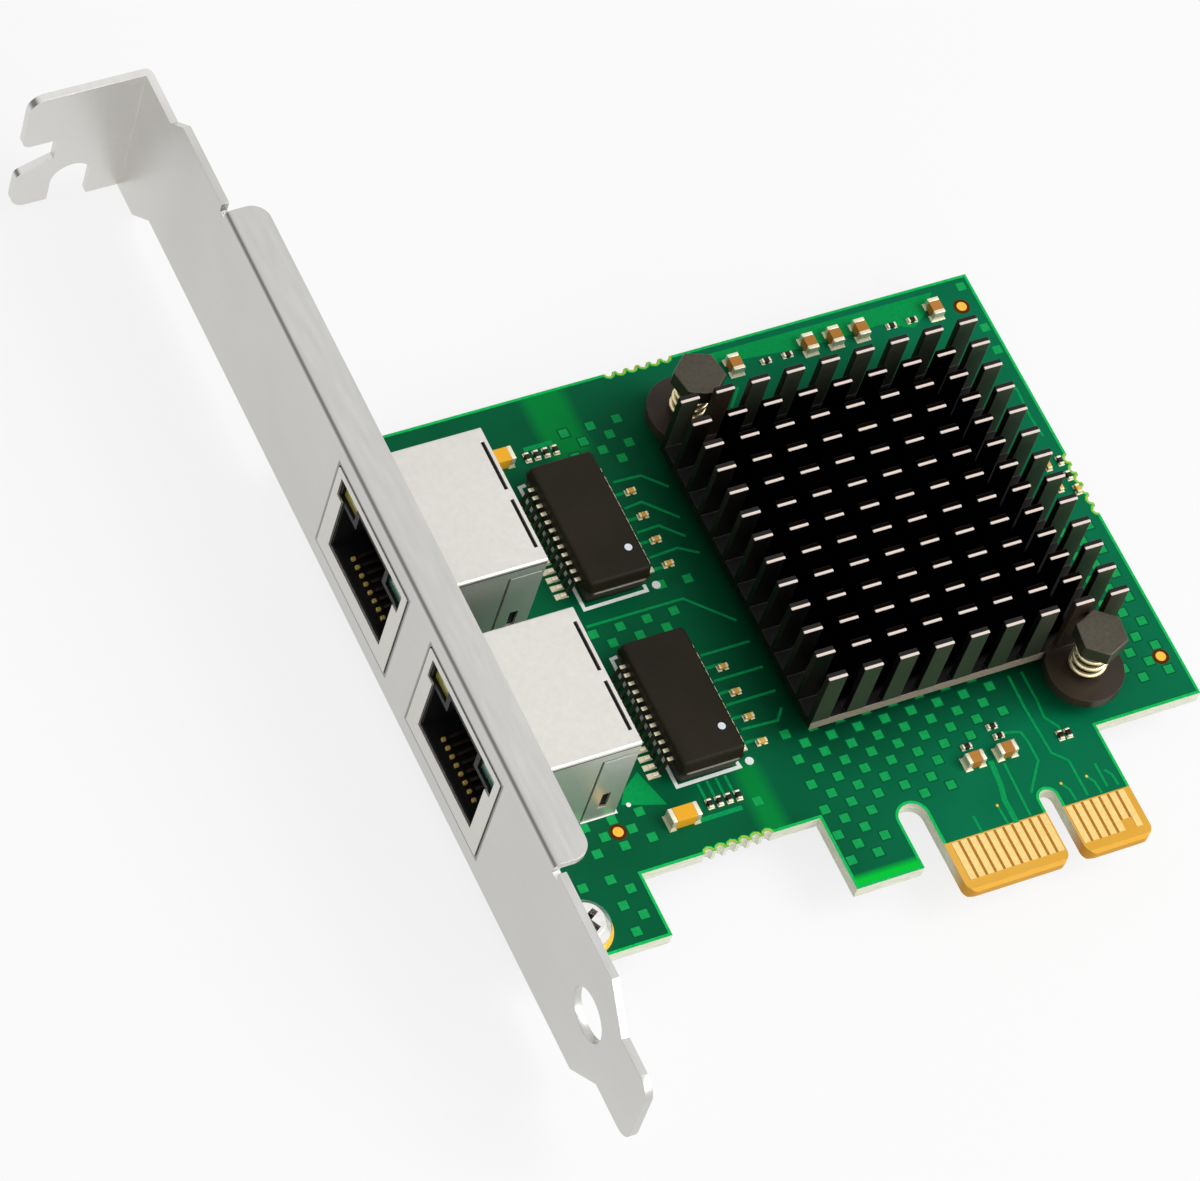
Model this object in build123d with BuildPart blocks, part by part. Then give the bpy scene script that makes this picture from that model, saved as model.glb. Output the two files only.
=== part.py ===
"""Two-port network interface card with a full-height bracket, lying component side up.

X runs along the card, away from the bracket. Y runs up the card, from the edge contacts
to the bracket's mounting tab. Z points out of the component side. The origin is the
centre of the key notch, at the contact edge and halfway through the board.
"""
import math
import os

from build123d import *

os.makedirs("parts", exist_ok=True)

# Circuit board
BOARD_T = 1.57
BOARD_TOP = BOARD_T / 2
BOARD_BOTTOM = -BOARD_T / 2
BOARD_LEFT_X = -56.0
BOARD_RIGHT_X = 20.85
BOARD_TOP_Y = 66.5
SHELF_Y = 12.4
RIGHT_SHELF_Y = 13.1
FOOT_RIGHT_X = -42.9
FOOT_Y = 5.3
HOOK_LEFT_X = -23.2
HOOK_RIGHT_X = -15.65
HOOK_Y = 4.0
HOOK_NOTCH_TOP_Y = 11.05
LONG_CONTACTS = 11
SHORT_CONTACTS = 7
KEY_WIDTH = 1.90
KEY_TOP_Y = 8.1
LONG_EDGE_X = -12.6
SHORT_EDGE_X = 8.6
EDGE_CORNER_R = 1.2
EDGE_BEVEL = 0.35
BITE_D = 0.9
BITE_PITCH = 1.3
BITE_COUNT = 6
BOTTOM_BITES_X = -32.2
TOP_BITES_X = -17.7
RIGHT_BITES_Y = 39.3

# Gold edge contacts
CONTACT_PITCH = 1.0
CONTACT_WIDTH = 0.70
CONTACT_LOW_Y = 1.3
CONTACT_HIGH_Y = 5.6
CONTACT_T = 0.04
KEY_TO_CONTACT = 0.55
LATE_CONTACT = 17
LATE_CONTACT_LOW_Y = 2.5

# Folded bracket
SHEET_T = 0.86
FACE_X = -57.65
BRACKET_WIDTH = 18.42
BRACKET_LOW_Z = BOARD_BOTTOM - SHEET_T
BRACKET_HIGH_Z = BRACKET_LOW_Z + BRACKET_WIDTH
TAB_Y = 105.72
TAB_DEPTH = 12.4
TAB_WIDTH = 19.3
TAB_SHIFT = 3.2
TAB_LOW_Z = BRACKET_LOW_Z - TAB_SHIFT
TAB_HIGH_Z = TAB_LOW_Z + TAB_WIDTH
NECK_LOW_Y = 99.1
NECK_HIGH_Y = 97.2
TONGUE_TIP_Y = -14.3
TONGUE_WIDTH = 10.19
TONGUE_LOW_Z = 2.35
TAPER_LOW_Y = -3.6
TAPER_HIGH_Y = -4.1
TONGUE_CORNER_R = 2.0
BEND_OUTER_R = 0.8
FLANGE_DEPTH = 4.2
FLANGE_LOW_Y = 8.6
FLANGE_HIGH_Y = 86.6
FLANGE_CORNER_R = 1.9
RELIEF_LENGTH = 0.9
RELIEF_DEPTH = 1.2
VENT_D = 5.7
VENT_Y = -3.0
VENT_Z = 8.0
SCREW_SLOT_WIDTH = 4.42
SCREW_SLOT_X = -63.75
SCREW_SLOT_END_Z = -0.4
ARM_LOW_Z = -3.35
STUB_LOW_Z = -3.95
NARROW_SLOT_WIDTH = 3.1
NARROW_SLOT_FLARE = 1.6
NARROW_SLOT_DEPTH = 3.9
NARROW_SLOT_HIGH_Z = 6.85
NARROW_SLOT_CORNER_R = 1.0
TAB_CORNER_R = 1.8
LUG_RIGHT_X = -47.6
LUG_WIDTH = 5.5
LUG_CORNER_R = 2.0
LUG_SCREW_X = -51.1
LUG_SCREW_YS = (8.65, 61.9)
LUG_HOLE_D = 3.0

# Bracket screws, and the plated pads under their heads
SCREW_D = 2.9
SCREW_HEAD_D = 5.4
SCREW_HEAD_H = 1.9
SCREW_HEAD_BEVEL = 0.8
SCREW_TIP = 0.5
SCREW_HOLE_D = 3.3
RECESS_WIDTH = 0.7
RECESS_LENGTH = 3.0
RECESS_DEPTH = 1.0
RECESS_TURN = 30
PAD_D = 6.2
PLATING_T = 0.05
FIDUCIAL_D = 1.1
FIDUCIALS = ((18.6, 62.9), (18.9, 18.2), (-43.1, 17.35))

# Modular ports
PORT_YS = {"a": 49.15, "b": 27.5}
PORT_WIDTH = 16.15
PORT_HEIGHT = 13.26
PORT_FRONT_X = -57.75
PORT_REAR_X = -42.5
SHIELD_T = 0.3
PORT_CLEARANCE = 0.15
PORT_FIT = 0.05
OPENING_CORNER_R = 0.45
APERTURE_WIDTH = 12.2
APERTURE_LOW = 2.1
APERTURE_HIGH = 9.5
LAMP_APERTURE_SIDE = 0.925
LAMP_APERTURE_DROP = 0.86
CAVITY_WIDTH = 11.8
CAVITY_FLOOR = 2.3
CAVITY_CEILING = 9.0
CAVITY_DEPTH = 12.2
LATCH_WIDTH = 6.2
LATCH_DROP = 2.06
LENS_WIDTH = 3.0
LENS_HEIGHT = 2.5
LENS_LENGTH = 3.5
LENS_SIDE = 2.775
LENS_DROP = 2.36
LENS_SETBACK = 0.35
REAR_SLOT_WIDTH = 0.4
REAR_SLOT_LENGTH = 5.8
REAR_SLOT_SPACING = 7.0
REAR_SLOT_INSET = 0.35
SEAM_X = -46.3
SEAM_WIDTH = 0.25
SEAM_DROP = 1.66
SPRING_WINDOW_X = -44.4
SPRING_WINDOW_Z = 3.4
SPRING_WINDOW_LENGTH = 0.9
SPRING_WINDOW_HEIGHT = 2.6
PEG_D = 3.2
PEG_HOLE_D = 3.3
PEG_X = -51.0
PEG_SPACING = 11.43
PEG_LENGTH = 2.3
LEG_X = -48.6
LEG_WIDTH = 1.2
LEG_LENGTH = 2.4
LEG_SLOT_LENGTH = 1.7
LEG_SLOT_WIDTH = 0.8

# Port contacts: eight bent wires, and their soldered tails under the board
WIRE_COUNT = 8
WIRE_PITCH = 1.02
WIRE_T = 0.35
WIRE_FRONT_X = -56.4
WIRE_BEND_X = -55.6
WIRE_RISE = 2.4
TAIL_ROW_XS = (-46.9, -44.4)
LAMP_TAIL_X = -54.2
LAMP_TAIL_PITCH = 2.54
TAIL_D = 1.5
TAIL_BEVEL = 0.4
TAIL_LENGTH = 1.3

# Transformers
TRANSFORMER_X = -32.0
TRANSFORMER_LENGTH = 15.3
TRANSFORMER_WIDTH = 7.1
TRANSFORMER_HEIGHT = 4.4
TRANSFORMER_STANDOFF = 0.1
TRANSFORMER_DRAFT = 9.5
PIN_ONE_D = 0.9
PIN_ONE_X = 1.8
PIN_ONE_Y = 4.6
PIN_ONE_DEPTH = 0.12
LEAD_COUNT = 12
LEAD_PITCH = 1.0
LEAD_WIDTH = 0.45
LEAD_T = 0.22
LEAD_EXIT = 2.5
LEAD_KNEE = 4.0
LEAD_FOOT = 4.4
LEAD_REACH = 5.15

# Controller, thermal pad and heat sink
CHIP_SIZE = 23.0
CHIP_H = 1.6
THERMAL_PAD_SIZE = 20.0
THERMAL_PAD_T = 0.25
SINK_X = -3.8
SINK_Y = 38.25
SINK_BASE_T = 1.3
SINK_BASE_Z = BOARD_TOP + CHIP_H + THERMAL_PAD_T
FIN_COLUMNS = 9
FIN_ROWS = 13
FIN_PITCH_X = 3.99
FIN_PITCH_Y = 2.82
FIN_WIDTH = 2.1
FIN_T = 0.75
FIN_HEIGHT = 8.0
EAR_R = 4.1
EAR_X = 12.85
EAR_Y = 20.1
EAR_HOLE_D = 2.8

# Spring-loaded bolts that hold the heat sink; each bolt's side along X and its hexagon's turn
BOLT_D = 2.2
BOLT_HEAD_R = 2.77
BOLT_HEAD_H = 1.9
BOLT_HOLE_D = 2.6
BOLT_TIP = 0.4
SPRING_R = 1.75
SPRING_WIRE_D = 0.5
SPRING_TURNS = 3.5
SPRING_LENGTH = 4.6
NUT_R = 2.3
NUT_H = 1.4
NUT_BORE_D = 2.3
BOLTS = {"upper": (-1, 40), "lower": (1, 22.5)}

# Chip components: each size is length, width, height and end length; each place is a centre
CERAMIC_SIZE = (2.0, 1.25, 1.25, 0.45)
SMALL_SIZE = (1.0, 0.5, 0.5, 0.25)
RESISTOR_SIZE = (1.0, 0.5, 0.35, 0.22)
MOULDED_SIZE = (3.2, 1.6, 1.6, 0.5)
CERAMIC_TOP_ROW = ((-8.1, 63.2), (0.55, 63.2), (3.55, 63.2), (6.6, 63.2), (15.4, 63.2))
CERAMIC_EDGE_ROW = ((-5.5, 13.2), (-1.85, 13.2))
SMALL_COLUMN_X = -25.0
SMALL_COLUMN_PITCH = 3.0
SMALL_COLUMN_COUNT = 4
SMALL_COLUMN_DROP = 0.95
RESISTOR_TOP_ROW = ((-4.5, 62.9), (-2.0, 62.9), (10.2, 62.9), (12.65, 62.9))
RESISTOR_EDGE_ROW = ((-5.35, 15.0), (-1.8, 16.3), (-1.6, 15.1))
RESISTOR_EDGE_PAIR = ((4.5, 13.15), (5.4, 13.15))
RESISTOR_SIDE_PAIR = ((19.75, 42.5), (19.8, 40.6))
SMALL_SIDE_GROUP = ((18.2, 42.3), (18.2, 39.6), (19.9, 38.8))
RESISTOR_BANKS = ((-31.8, 59.6), (-31.5, 17.3))
RESISTOR_BANK_COUNT = 4
RESISTOR_BANK_PITCH = 1.05
MOULDED_CENTRES = ((-36.7, 59.9), (-36.5, 16.6))


def save(part, name):
    """Label a finished piece and write it under its own name."""
    part.label = name
    export_step(part, f"parts/{name}.step")


def port_floor(height):
    """Height above the board's component side, as an absolute Z."""
    return BOARD_TOP + height


# Circuit board: notched outline, bitten break-off points and drilled holes
def bolt_centres():
    return [(SINK_X + side * EAR_X, SINK_Y - side * EAR_Y) for side, _ in BOLTS.values()]


def peg_centres():
    return [
        (PEG_X, y + side * PEG_SPACING / 2)
        for y in PORT_YS.values()
        for side in (-1, 1)
    ]


board_outline = [
    (BOARD_LEFT_X, BOARD_TOP_Y),
    (BOARD_RIGHT_X, BOARD_TOP_Y),
    (BOARD_RIGHT_X, RIGHT_SHELF_Y),
    (SHORT_EDGE_X, RIGHT_SHELF_Y),
    (SHORT_EDGE_X, 0),
    (LONG_EDGE_X, 0),
    (LONG_EDGE_X, HOOK_Y),
    (HOOK_LEFT_X, HOOK_Y),
    (HOOK_LEFT_X, SHELF_Y),
    (FOOT_RIGHT_X, SHELF_Y),
    (FOOT_RIGHT_X, FOOT_Y),
    (BOARD_LEFT_X, FOOT_Y),
]
hook_notch_width = LONG_EDGE_X - HOOK_RIGHT_X
hook_notch_x = (LONG_EDGE_X + HOOK_RIGHT_X) / 2

with BuildPart() as board:
    with BuildSketch(Plane.XY.offset(BOARD_BOTTOM)):
        with BuildLine():
            Polyline(*board_outline, close=True)
        make_face()
        with Locations((hook_notch_x, HOOK_NOTCH_TOP_Y - hook_notch_width / 2)):
            Circle(hook_notch_width / 2, mode=Mode.SUBTRACT)
            Rectangle(
                hook_notch_width, HOOK_NOTCH_TOP_Y, align=(Align.CENTER, Align.MAX), mode=Mode.SUBTRACT
            )
        with Locations((0, KEY_TOP_Y - KEY_WIDTH / 2)):
            Circle(KEY_WIDTH / 2, mode=Mode.SUBTRACT)
            Rectangle(KEY_WIDTH, KEY_TOP_Y, align=(Align.CENTER, Align.MAX), mode=Mode.SUBTRACT)
    extrude(amount=BOARD_T)
    contact_edge = board.edges().filter_by(Axis.X).group_by(Axis.Y)[0]
    chamfer(contact_edge, length=EDGE_BEVEL)
    edge_corners = board.edges().filter_by(Axis.Z).group_by(Axis.Y)[0]
    fillet(edge_corners, radius=EDGE_CORNER_R)
    with BuildSketch(Plane.XY.offset(BOARD_BOTTOM)):
        with Locations((BOTTOM_BITES_X, SHELF_Y), (TOP_BITES_X, BOARD_TOP_Y)):
            with GridLocations(BITE_PITCH, 1, BITE_COUNT, 1):
                RegularPolygon(BITE_D / 2, 8)
        with Locations((BOARD_RIGHT_X, RIGHT_BITES_Y)):
            with GridLocations(1, BITE_PITCH, 1, BITE_COUNT):
                RegularPolygon(BITE_D / 2, 8)
        with Locations(*[(LUG_SCREW_X, y) for y in LUG_SCREW_YS]):
            Circle(SCREW_HOLE_D / 2)
        with Locations(*bolt_centres()):
            Circle(BOLT_HOLE_D / 2)
        with Locations(*peg_centres()):
            Circle(PEG_HOLE_D / 2)
        with Locations(*[(LEG_X, y) for y in PORT_YS.values()]):
            with GridLocations(1, PORT_WIDTH - SHIELD_T, 1, 2):
                Rectangle(LEG_SLOT_LENGTH, LEG_SLOT_WIDTH)
    extrude(amount=BOARD_T, mode=Mode.SUBTRACT)
save(board.part, "circuit_board")


# Gold contacts on both faces: a long group, the key notch, then a short group
def contact_rectangles():
    """Centre X and lower edge Y of each contact, from the bracket end."""
    inner = KEY_WIDTH / 2 + KEY_TO_CONTACT
    long_group = [-inner - CONTACT_PITCH * i for i in reversed(range(LONG_CONTACTS))]
    short_group = [inner + CONTACT_PITCH * i for i in range(SHORT_CONTACTS)]
    rows = []
    for number, x in enumerate(long_group + short_group, start=1):
        low = LATE_CONTACT_LOW_Y if number == LATE_CONTACT else CONTACT_LOW_Y
        rows.append((x, low))
    return rows


for face, z in (("front", BOARD_TOP), ("back", BOARD_BOTTOM - CONTACT_T)):
    with BuildPart() as contacts:
        with BuildSketch(Plane.XY.offset(z)):
            for x, low in contact_rectangles():
                with Locations((x, low)):
                    Rectangle(CONTACT_WIDTH, CONTACT_HIGH_Y - low, align=(Align.CENTER, Align.MIN))
        extrude(amount=CONTACT_T)
    save(contacts.part, f"edge_contacts_{face}")


# Bracket: plate, tab, flange and two board lugs folded from one sheet
plate_outline = [
    (TAB_Y + SHEET_T, TAB_LOW_Z),
    (NECK_LOW_Y + TAB_SHIFT, TAB_LOW_Z),
    (NECK_LOW_Y, BRACKET_LOW_Z),
    (TAPER_LOW_Y, BRACKET_LOW_Z),
    (TAPER_LOW_Y - (TONGUE_LOW_Z - BRACKET_LOW_Z), TONGUE_LOW_Z),
    (TONGUE_TIP_Y, TONGUE_LOW_Z),
    (TONGUE_TIP_Y, TONGUE_LOW_Z + TONGUE_WIDTH),
    (TAPER_HIGH_Y - (BRACKET_HIGH_Z - TONGUE_LOW_Z - TONGUE_WIDTH), TONGUE_LOW_Z + TONGUE_WIDTH),
    (TAPER_HIGH_Y, BRACKET_HIGH_Z),
    (NECK_HIGH_Y, BRACKET_HIGH_Z),
    (NECK_HIGH_Y + BRACKET_HIGH_Z - TAB_HIGH_Z, TAB_HIGH_Z),
    (TAB_Y + SHEET_T, TAB_HIGH_Z),
]
face_plane = Plane.YZ.offset(FACE_X)
tab_right_x = FACE_X + SHEET_T
tab_left_x = FACE_X - TAB_DEPTH
tab_outline = [
    (tab_right_x, STUB_LOW_Z),
    (tab_right_x, TAB_HIGH_Z),
    (tab_left_x, TAB_HIGH_Z),
    (tab_left_x, ARM_LOW_Z),
    (SCREW_SLOT_X, ARM_LOW_Z),
    (SCREW_SLOT_X, STUB_LOW_Z),
]
narrow_slot_end_x = tab_left_x + NARROW_SLOT_DEPTH
narrow_slot_low_z = NARROW_SLOT_HIGH_Z - NARROW_SLOT_WIDTH
narrow_slot_outline = [
    (tab_left_x, NARROW_SLOT_HIGH_Z),
    (narrow_slot_end_x, NARROW_SLOT_HIGH_Z),
    (narrow_slot_end_x, narrow_slot_low_z),
    (tab_left_x, narrow_slot_low_z - NARROW_SLOT_FLARE),
]
port_centre_z = port_floor(PORT_HEIGHT / 2)

with BuildPart() as bracket:
    with BuildSketch(face_plane):
        with BuildLine():
            Polyline(*plate_outline, close=True)
        make_face()
    extrude(amount=SHEET_T)
    fillet(bracket.edges().filter_by(Axis.X).group_by(Axis.Y)[0], radius=TONGUE_CORNER_R)
    with BuildSketch(face_plane):
        with Locations(*[(y, port_centre_z) for y in PORT_YS.values()]):
            RectangleRounded(
                PORT_WIDTH + 2 * PORT_CLEARANCE, PORT_HEIGHT + 2 * PORT_CLEARANCE, OPENING_CORNER_R
            )
        with Locations((VENT_Y, VENT_Z)):
            Circle(VENT_D / 2)
        for end, side in ((FLANGE_LOW_Y, Align.MAX), (FLANGE_HIGH_Y, Align.MIN)):
            with Locations((end, BRACKET_HIGH_Z)):
                Rectangle(RELIEF_LENGTH, RELIEF_DEPTH, align=(side, Align.MAX))
    extrude(amount=SHEET_T, mode=Mode.SUBTRACT)
    with BuildSketch(Plane.XY.offset(BRACKET_HIGH_Z - SHEET_T)) as flange_face:
        with Locations((FACE_X, FLANGE_LOW_Y)):
            Rectangle(FLANGE_DEPTH, FLANGE_HIGH_Y - FLANGE_LOW_Y, align=(Align.MIN, Align.MIN))
        fillet(flange_face.vertices().group_by(Axis.X)[-1], radius=FLANGE_CORNER_R)
    extrude(amount=SHEET_T)
    with BuildSketch(Plane.XY.offset(BRACKET_LOW_Z)) as lug_faces:
        for y in LUG_SCREW_YS:
            with Locations((FACE_X, y)):
                Rectangle(LUG_RIGHT_X - FACE_X, LUG_WIDTH, align=(Align.MIN, Align.CENTER))
        fillet(lug_faces.vertices().group_by(Axis.X)[-1], radius=LUG_CORNER_R)
        with Locations(*[(LUG_SCREW_X, y) for y in LUG_SCREW_YS]):
            Circle(LUG_HOLE_D / 2, mode=Mode.SUBTRACT)
    extrude(amount=SHEET_T)
    with BuildSketch(Plane.XZ.offset(-TAB_Y)) as tab_face:
        with BuildLine():
            Polyline(*tab_outline, close=True)
        make_face()
        fillet(tab_face.vertices().group_by(Axis.X)[0], radius=TAB_CORNER_R)
        with Locations((SCREW_SLOT_X, SCREW_SLOT_END_Z)):
            Circle(SCREW_SLOT_WIDTH / 2, mode=Mode.SUBTRACT)
            Rectangle(
                SCREW_SLOT_WIDTH, TAB_WIDTH, align=(Align.CENTER, Align.MAX), mode=Mode.SUBTRACT
            )
        with BuildLine():
            Polyline(*narrow_slot_outline, close=True)
        make_face(mode=Mode.SUBTRACT)
        outer_side = tab_face.vertices().group_by(Axis.X)[0].sort_by(Axis.Y)
        fillet(outer_side[1:3], radius=NARROW_SLOT_CORNER_R)
    extrude(amount=-SHEET_T)
    flange_bend = bracket.edges().filter_by(Axis.Y).group_by(Axis.Z)[-1].sort_by(SortBy.LENGTH)[-1]
    fillet(flange_bend, radius=BEND_OUTER_R)
    tab_bend = bracket.edges().filter_by(Axis.Z).group_by(Axis.Y)[-1].sort_by(Axis.X)[-1]
    fillet(tab_bend, radius=BEND_OUTER_R)
save(bracket.part, "bracket")

# Screws through the board into the bracket's lugs
with BuildPart() as screws:
    with BuildSketch(Plane.XY.offset(BOARD_TOP + PLATING_T)):
        with Locations(*[(LUG_SCREW_X, y) for y in LUG_SCREW_YS]):
            Circle(SCREW_HEAD_D / 2)
    extrude(amount=SCREW_HEAD_H)
    chamfer(screws.edges().group_by(Axis.Z)[-1], length=SCREW_HEAD_BEVEL)
    with BuildSketch(Plane.XY.offset(BRACKET_LOW_Z - SCREW_TIP)):
        with Locations(*[(LUG_SCREW_X, y) for y in LUG_SCREW_YS]):
            Circle(SCREW_D / 2)
    extrude(amount=BOARD_TOP + PLATING_T - BRACKET_LOW_Z + SCREW_TIP)
    with BuildSketch(Plane.XY.offset(BOARD_TOP + PLATING_T + SCREW_HEAD_H)):
        with Locations(*[(LUG_SCREW_X, y) for y in LUG_SCREW_YS]):
            Rectangle(RECESS_LENGTH, RECESS_WIDTH, rotation=RECESS_TURN)
            Rectangle(RECESS_WIDTH, RECESS_LENGTH, rotation=RECESS_TURN)
    extrude(amount=-RECESS_DEPTH, mode=Mode.SUBTRACT)
save(screws.part, "bracket_screws")

with BuildPart() as pads:
    with BuildSketch(Plane.XY.offset(BOARD_TOP)):
        with Locations(*[(LUG_SCREW_X, y) for y in LUG_SCREW_YS]):
            Circle(PAD_D / 2)
            Circle(SCREW_HOLE_D / 2, mode=Mode.SUBTRACT)
    extrude(amount=PLATING_T)
save(pads.part, "mounting_pads")

with BuildPart() as fiducials:
    with BuildSketch(Plane.XY.offset(BOARD_TOP)):
        with Locations(*FIDUCIALS):
            Circle(FIDUCIAL_D / 2)
    extrude(amount=PLATING_T)
save(fiducials.part, "fiducial_marks")


# Modular ports: folded shield, moulded housing, bent wires, lamp lenses and soldered tails
lens_out = PORT_WIDTH / 2 - LENS_SIDE
lens_z = port_floor(PORT_HEIGHT - LENS_DROP)


def port_shield(y):
    """Folded metal shell, open underneath, with a stepped front window."""
    length = PORT_REAR_X - PORT_FRONT_X
    middle_x = (PORT_REAR_X + PORT_FRONT_X) / 2
    with BuildPart() as shield:
        with BuildSketch(Plane.XY.offset(BOARD_TOP)):
            with Locations((middle_x, y)):
                Rectangle(length, PORT_WIDTH)
        extrude(amount=PORT_HEIGHT)
        fillet(shield.edges().filter_by(Axis.X).group_by(Axis.Z)[-1], radius=SHIELD_T)
        with BuildSketch(Plane.XY.offset(BOARD_TOP)):
            with Locations((middle_x, y)):
                Rectangle(length - 2 * SHIELD_T, PORT_WIDTH - 2 * SHIELD_T)
        extrude(amount=PORT_HEIGHT - SHIELD_T, mode=Mode.SUBTRACT)
        with BuildSketch(Plane.YZ.offset(PORT_FRONT_X)):
            with Locations((y, port_floor(APERTURE_LOW))):
                Rectangle(
                    APERTURE_WIDTH, APERTURE_HIGH - APERTURE_LOW, align=(Align.CENTER, Align.MIN)
                )
            with Locations((y, port_floor(APERTURE_HIGH))):
                Rectangle(
                    PORT_WIDTH - 2 * LAMP_APERTURE_SIDE,
                    PORT_HEIGHT - LAMP_APERTURE_DROP - APERTURE_HIGH,
                    align=(Align.CENTER, Align.MIN),
                )
        extrude(amount=SHIELD_T, mode=Mode.SUBTRACT)
        with BuildSketch(Plane.XY.offset(port_floor(PORT_HEIGHT))):
            with Locations((PORT_REAR_X - REAR_SLOT_INSET - REAR_SLOT_WIDTH / 2, y)):
                with GridLocations(1, REAR_SLOT_SPACING, 1, 2):
                    Rectangle(REAR_SLOT_WIDTH, REAR_SLOT_LENGTH)
        extrude(amount=-SHIELD_T, mode=Mode.SUBTRACT)
        for side in (-1, 1):
            with BuildSketch(Plane.XZ.offset(-y - side * PORT_WIDTH / 2)):
                with Locations((SEAM_X, BOARD_TOP)):
                    Rectangle(
                        SEAM_WIDTH, PORT_HEIGHT - SEAM_DROP, align=(Align.CENTER, Align.MIN)
                    )
                with Locations((SEAM_X, port_floor(PORT_HEIGHT - SEAM_DROP))):
                    Rectangle(
                        PORT_REAR_X - SHIELD_T - SEAM_X, SEAM_WIDTH, align=(Align.MIN, Align.MAX)
                    )
                with Locations((SPRING_WINDOW_X, port_floor(SPRING_WINDOW_Z))):
                    Rectangle(SPRING_WINDOW_LENGTH, SPRING_WINDOW_HEIGHT)
            extrude(amount=side * SHIELD_T, mode=Mode.SUBTRACT)
        with BuildSketch(Plane.XY.offset(BOARD_TOP)):
            with Locations((LEG_X, y)):
                with GridLocations(1, PORT_WIDTH - SHIELD_T, 1, 2):
                    Rectangle(LEG_WIDTH, SHIELD_T)
        extrude(amount=-LEG_LENGTH)
    return shield.part


def port_housing(y):
    """Moulded insert with the plug cavity, latch channel, lamp pockets and two pegs."""
    front_x = PORT_FRONT_X + SHIELD_T + PORT_FIT
    rear_x = PORT_REAR_X - SHIELD_T - PORT_FIT
    inner_width = PORT_WIDTH - 2 * (SHIELD_T + PORT_FIT)
    with BuildPart() as housing:
        with BuildSketch(Plane.XY.offset(BOARD_TOP)):
            with Locations((front_x, y)):
                Rectangle(rear_x - front_x, inner_width, align=(Align.MIN, Align.CENTER))
        extrude(amount=PORT_HEIGHT - SHIELD_T - PORT_FIT)
        with BuildSketch(Plane.YZ.offset(front_x)):
            with Locations((y, port_floor(CAVITY_FLOOR))):
                Rectangle(CAVITY_WIDTH, CAVITY_CEILING - CAVITY_FLOOR, align=(Align.CENTER, Align.MIN))
                Rectangle(
                    LATCH_WIDTH, PORT_HEIGHT - LATCH_DROP - CAVITY_FLOOR, align=(Align.CENTER, Align.MIN)
                )
        extrude(amount=CAVITY_DEPTH, mode=Mode.SUBTRACT)
        with BuildSketch(Plane.YZ.offset(front_x)):
            with Locations((y, lens_z)):
                with GridLocations(2 * lens_out, 1, 2, 1):
                    Rectangle(LENS_WIDTH + 2 * PORT_FIT, LENS_HEIGHT + 2 * PORT_FIT)
        extrude(amount=LENS_SETBACK + LENS_LENGTH + PORT_FIT, mode=Mode.SUBTRACT)
        with BuildSketch(Plane.XY.offset(BOARD_TOP)):
            with Locations((PEG_X, y)):
                with GridLocations(1, PEG_SPACING, 1, 2):
                    Circle(PEG_D / 2)
        extrude(amount=-PEG_LENGTH)
    return housing.part


def port_contacts(y):
    """Eight gold wires that lie on the cavity floor at the front and rise to its rear wall."""
    rear_x = PORT_FRONT_X + SHIELD_T + PORT_FIT + CAVITY_DEPTH
    low = port_floor(CAVITY_FLOOR) + WIRE_T / 2
    with BuildPart() as wires:
        for i in range(WIRE_COUNT):
            wire_y = y + (i - (WIRE_COUNT - 1) / 2) * WIRE_PITCH
            with BuildSketch(Plane.XZ.offset(-wire_y)):
                with BuildLine():
                    Polyline((WIRE_FRONT_X, low), (WIRE_BEND_X, low), (rear_x, low + WIRE_RISE))
                trace(line_width=WIRE_T)
                with Locations((rear_x, low + WIRE_RISE)):
                    Rectangle(
                        WIRE_T, 2 * WIRE_T, align=(Align.MIN, Align.CENTER), mode=Mode.SUBTRACT
                    )
            extrude(amount=WIRE_T / 2, both=True)
    return wires.part


def port_lens(y, side):
    """Clear lamp window beside the latch channel."""
    front_x = PORT_FRONT_X + SHIELD_T + PORT_FIT + LENS_SETBACK
    with BuildPart() as lens:
        with BuildSketch(Plane.YZ.offset(front_x)):
            with Locations((y + side * lens_out, lens_z)):
                Rectangle(LENS_WIDTH, LENS_HEIGHT)
        extrude(amount=LENS_LENGTH)
    return lens.part


def solder_tails(y):
    """Soldered tails of the contacts and lamps, on the solder side."""
    rows = [
        (TAIL_ROW_XS[i % 2], y + (i - (WIRE_COUNT - 1) / 2) * WIRE_PITCH) for i in range(WIRE_COUNT)
    ]
    lamps = [
        (LAMP_TAIL_X, y + side * (lens_out + end * LAMP_TAIL_PITCH / 2))
        for side in (-1, 1)
        for end in (-1, 1)
    ]
    with BuildPart() as tails:
        with BuildSketch(Plane.XY.offset(BOARD_BOTTOM)):
            with Locations(*rows, *lamps):
                RegularPolygon(TAIL_D / 2, 8)
        extrude(amount=-TAIL_LENGTH)
        chamfer(tails.edges().group_by(Axis.Z)[0], length=TAIL_BEVEL)
    return tails.part


for name, y in PORT_YS.items():
    save(port_shield(y), f"port_shield_{name}")
    save(port_housing(y), f"port_housing_{name}")
    save(port_contacts(y), f"port_contacts_{name}")
    save(port_lens(y, 1), f"port_yellow_lens_{name}")
    save(port_lens(y, -1), f"port_green_lens_{name}")
    save(solder_tails(y), f"port_solder_tails_{name}")


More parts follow.
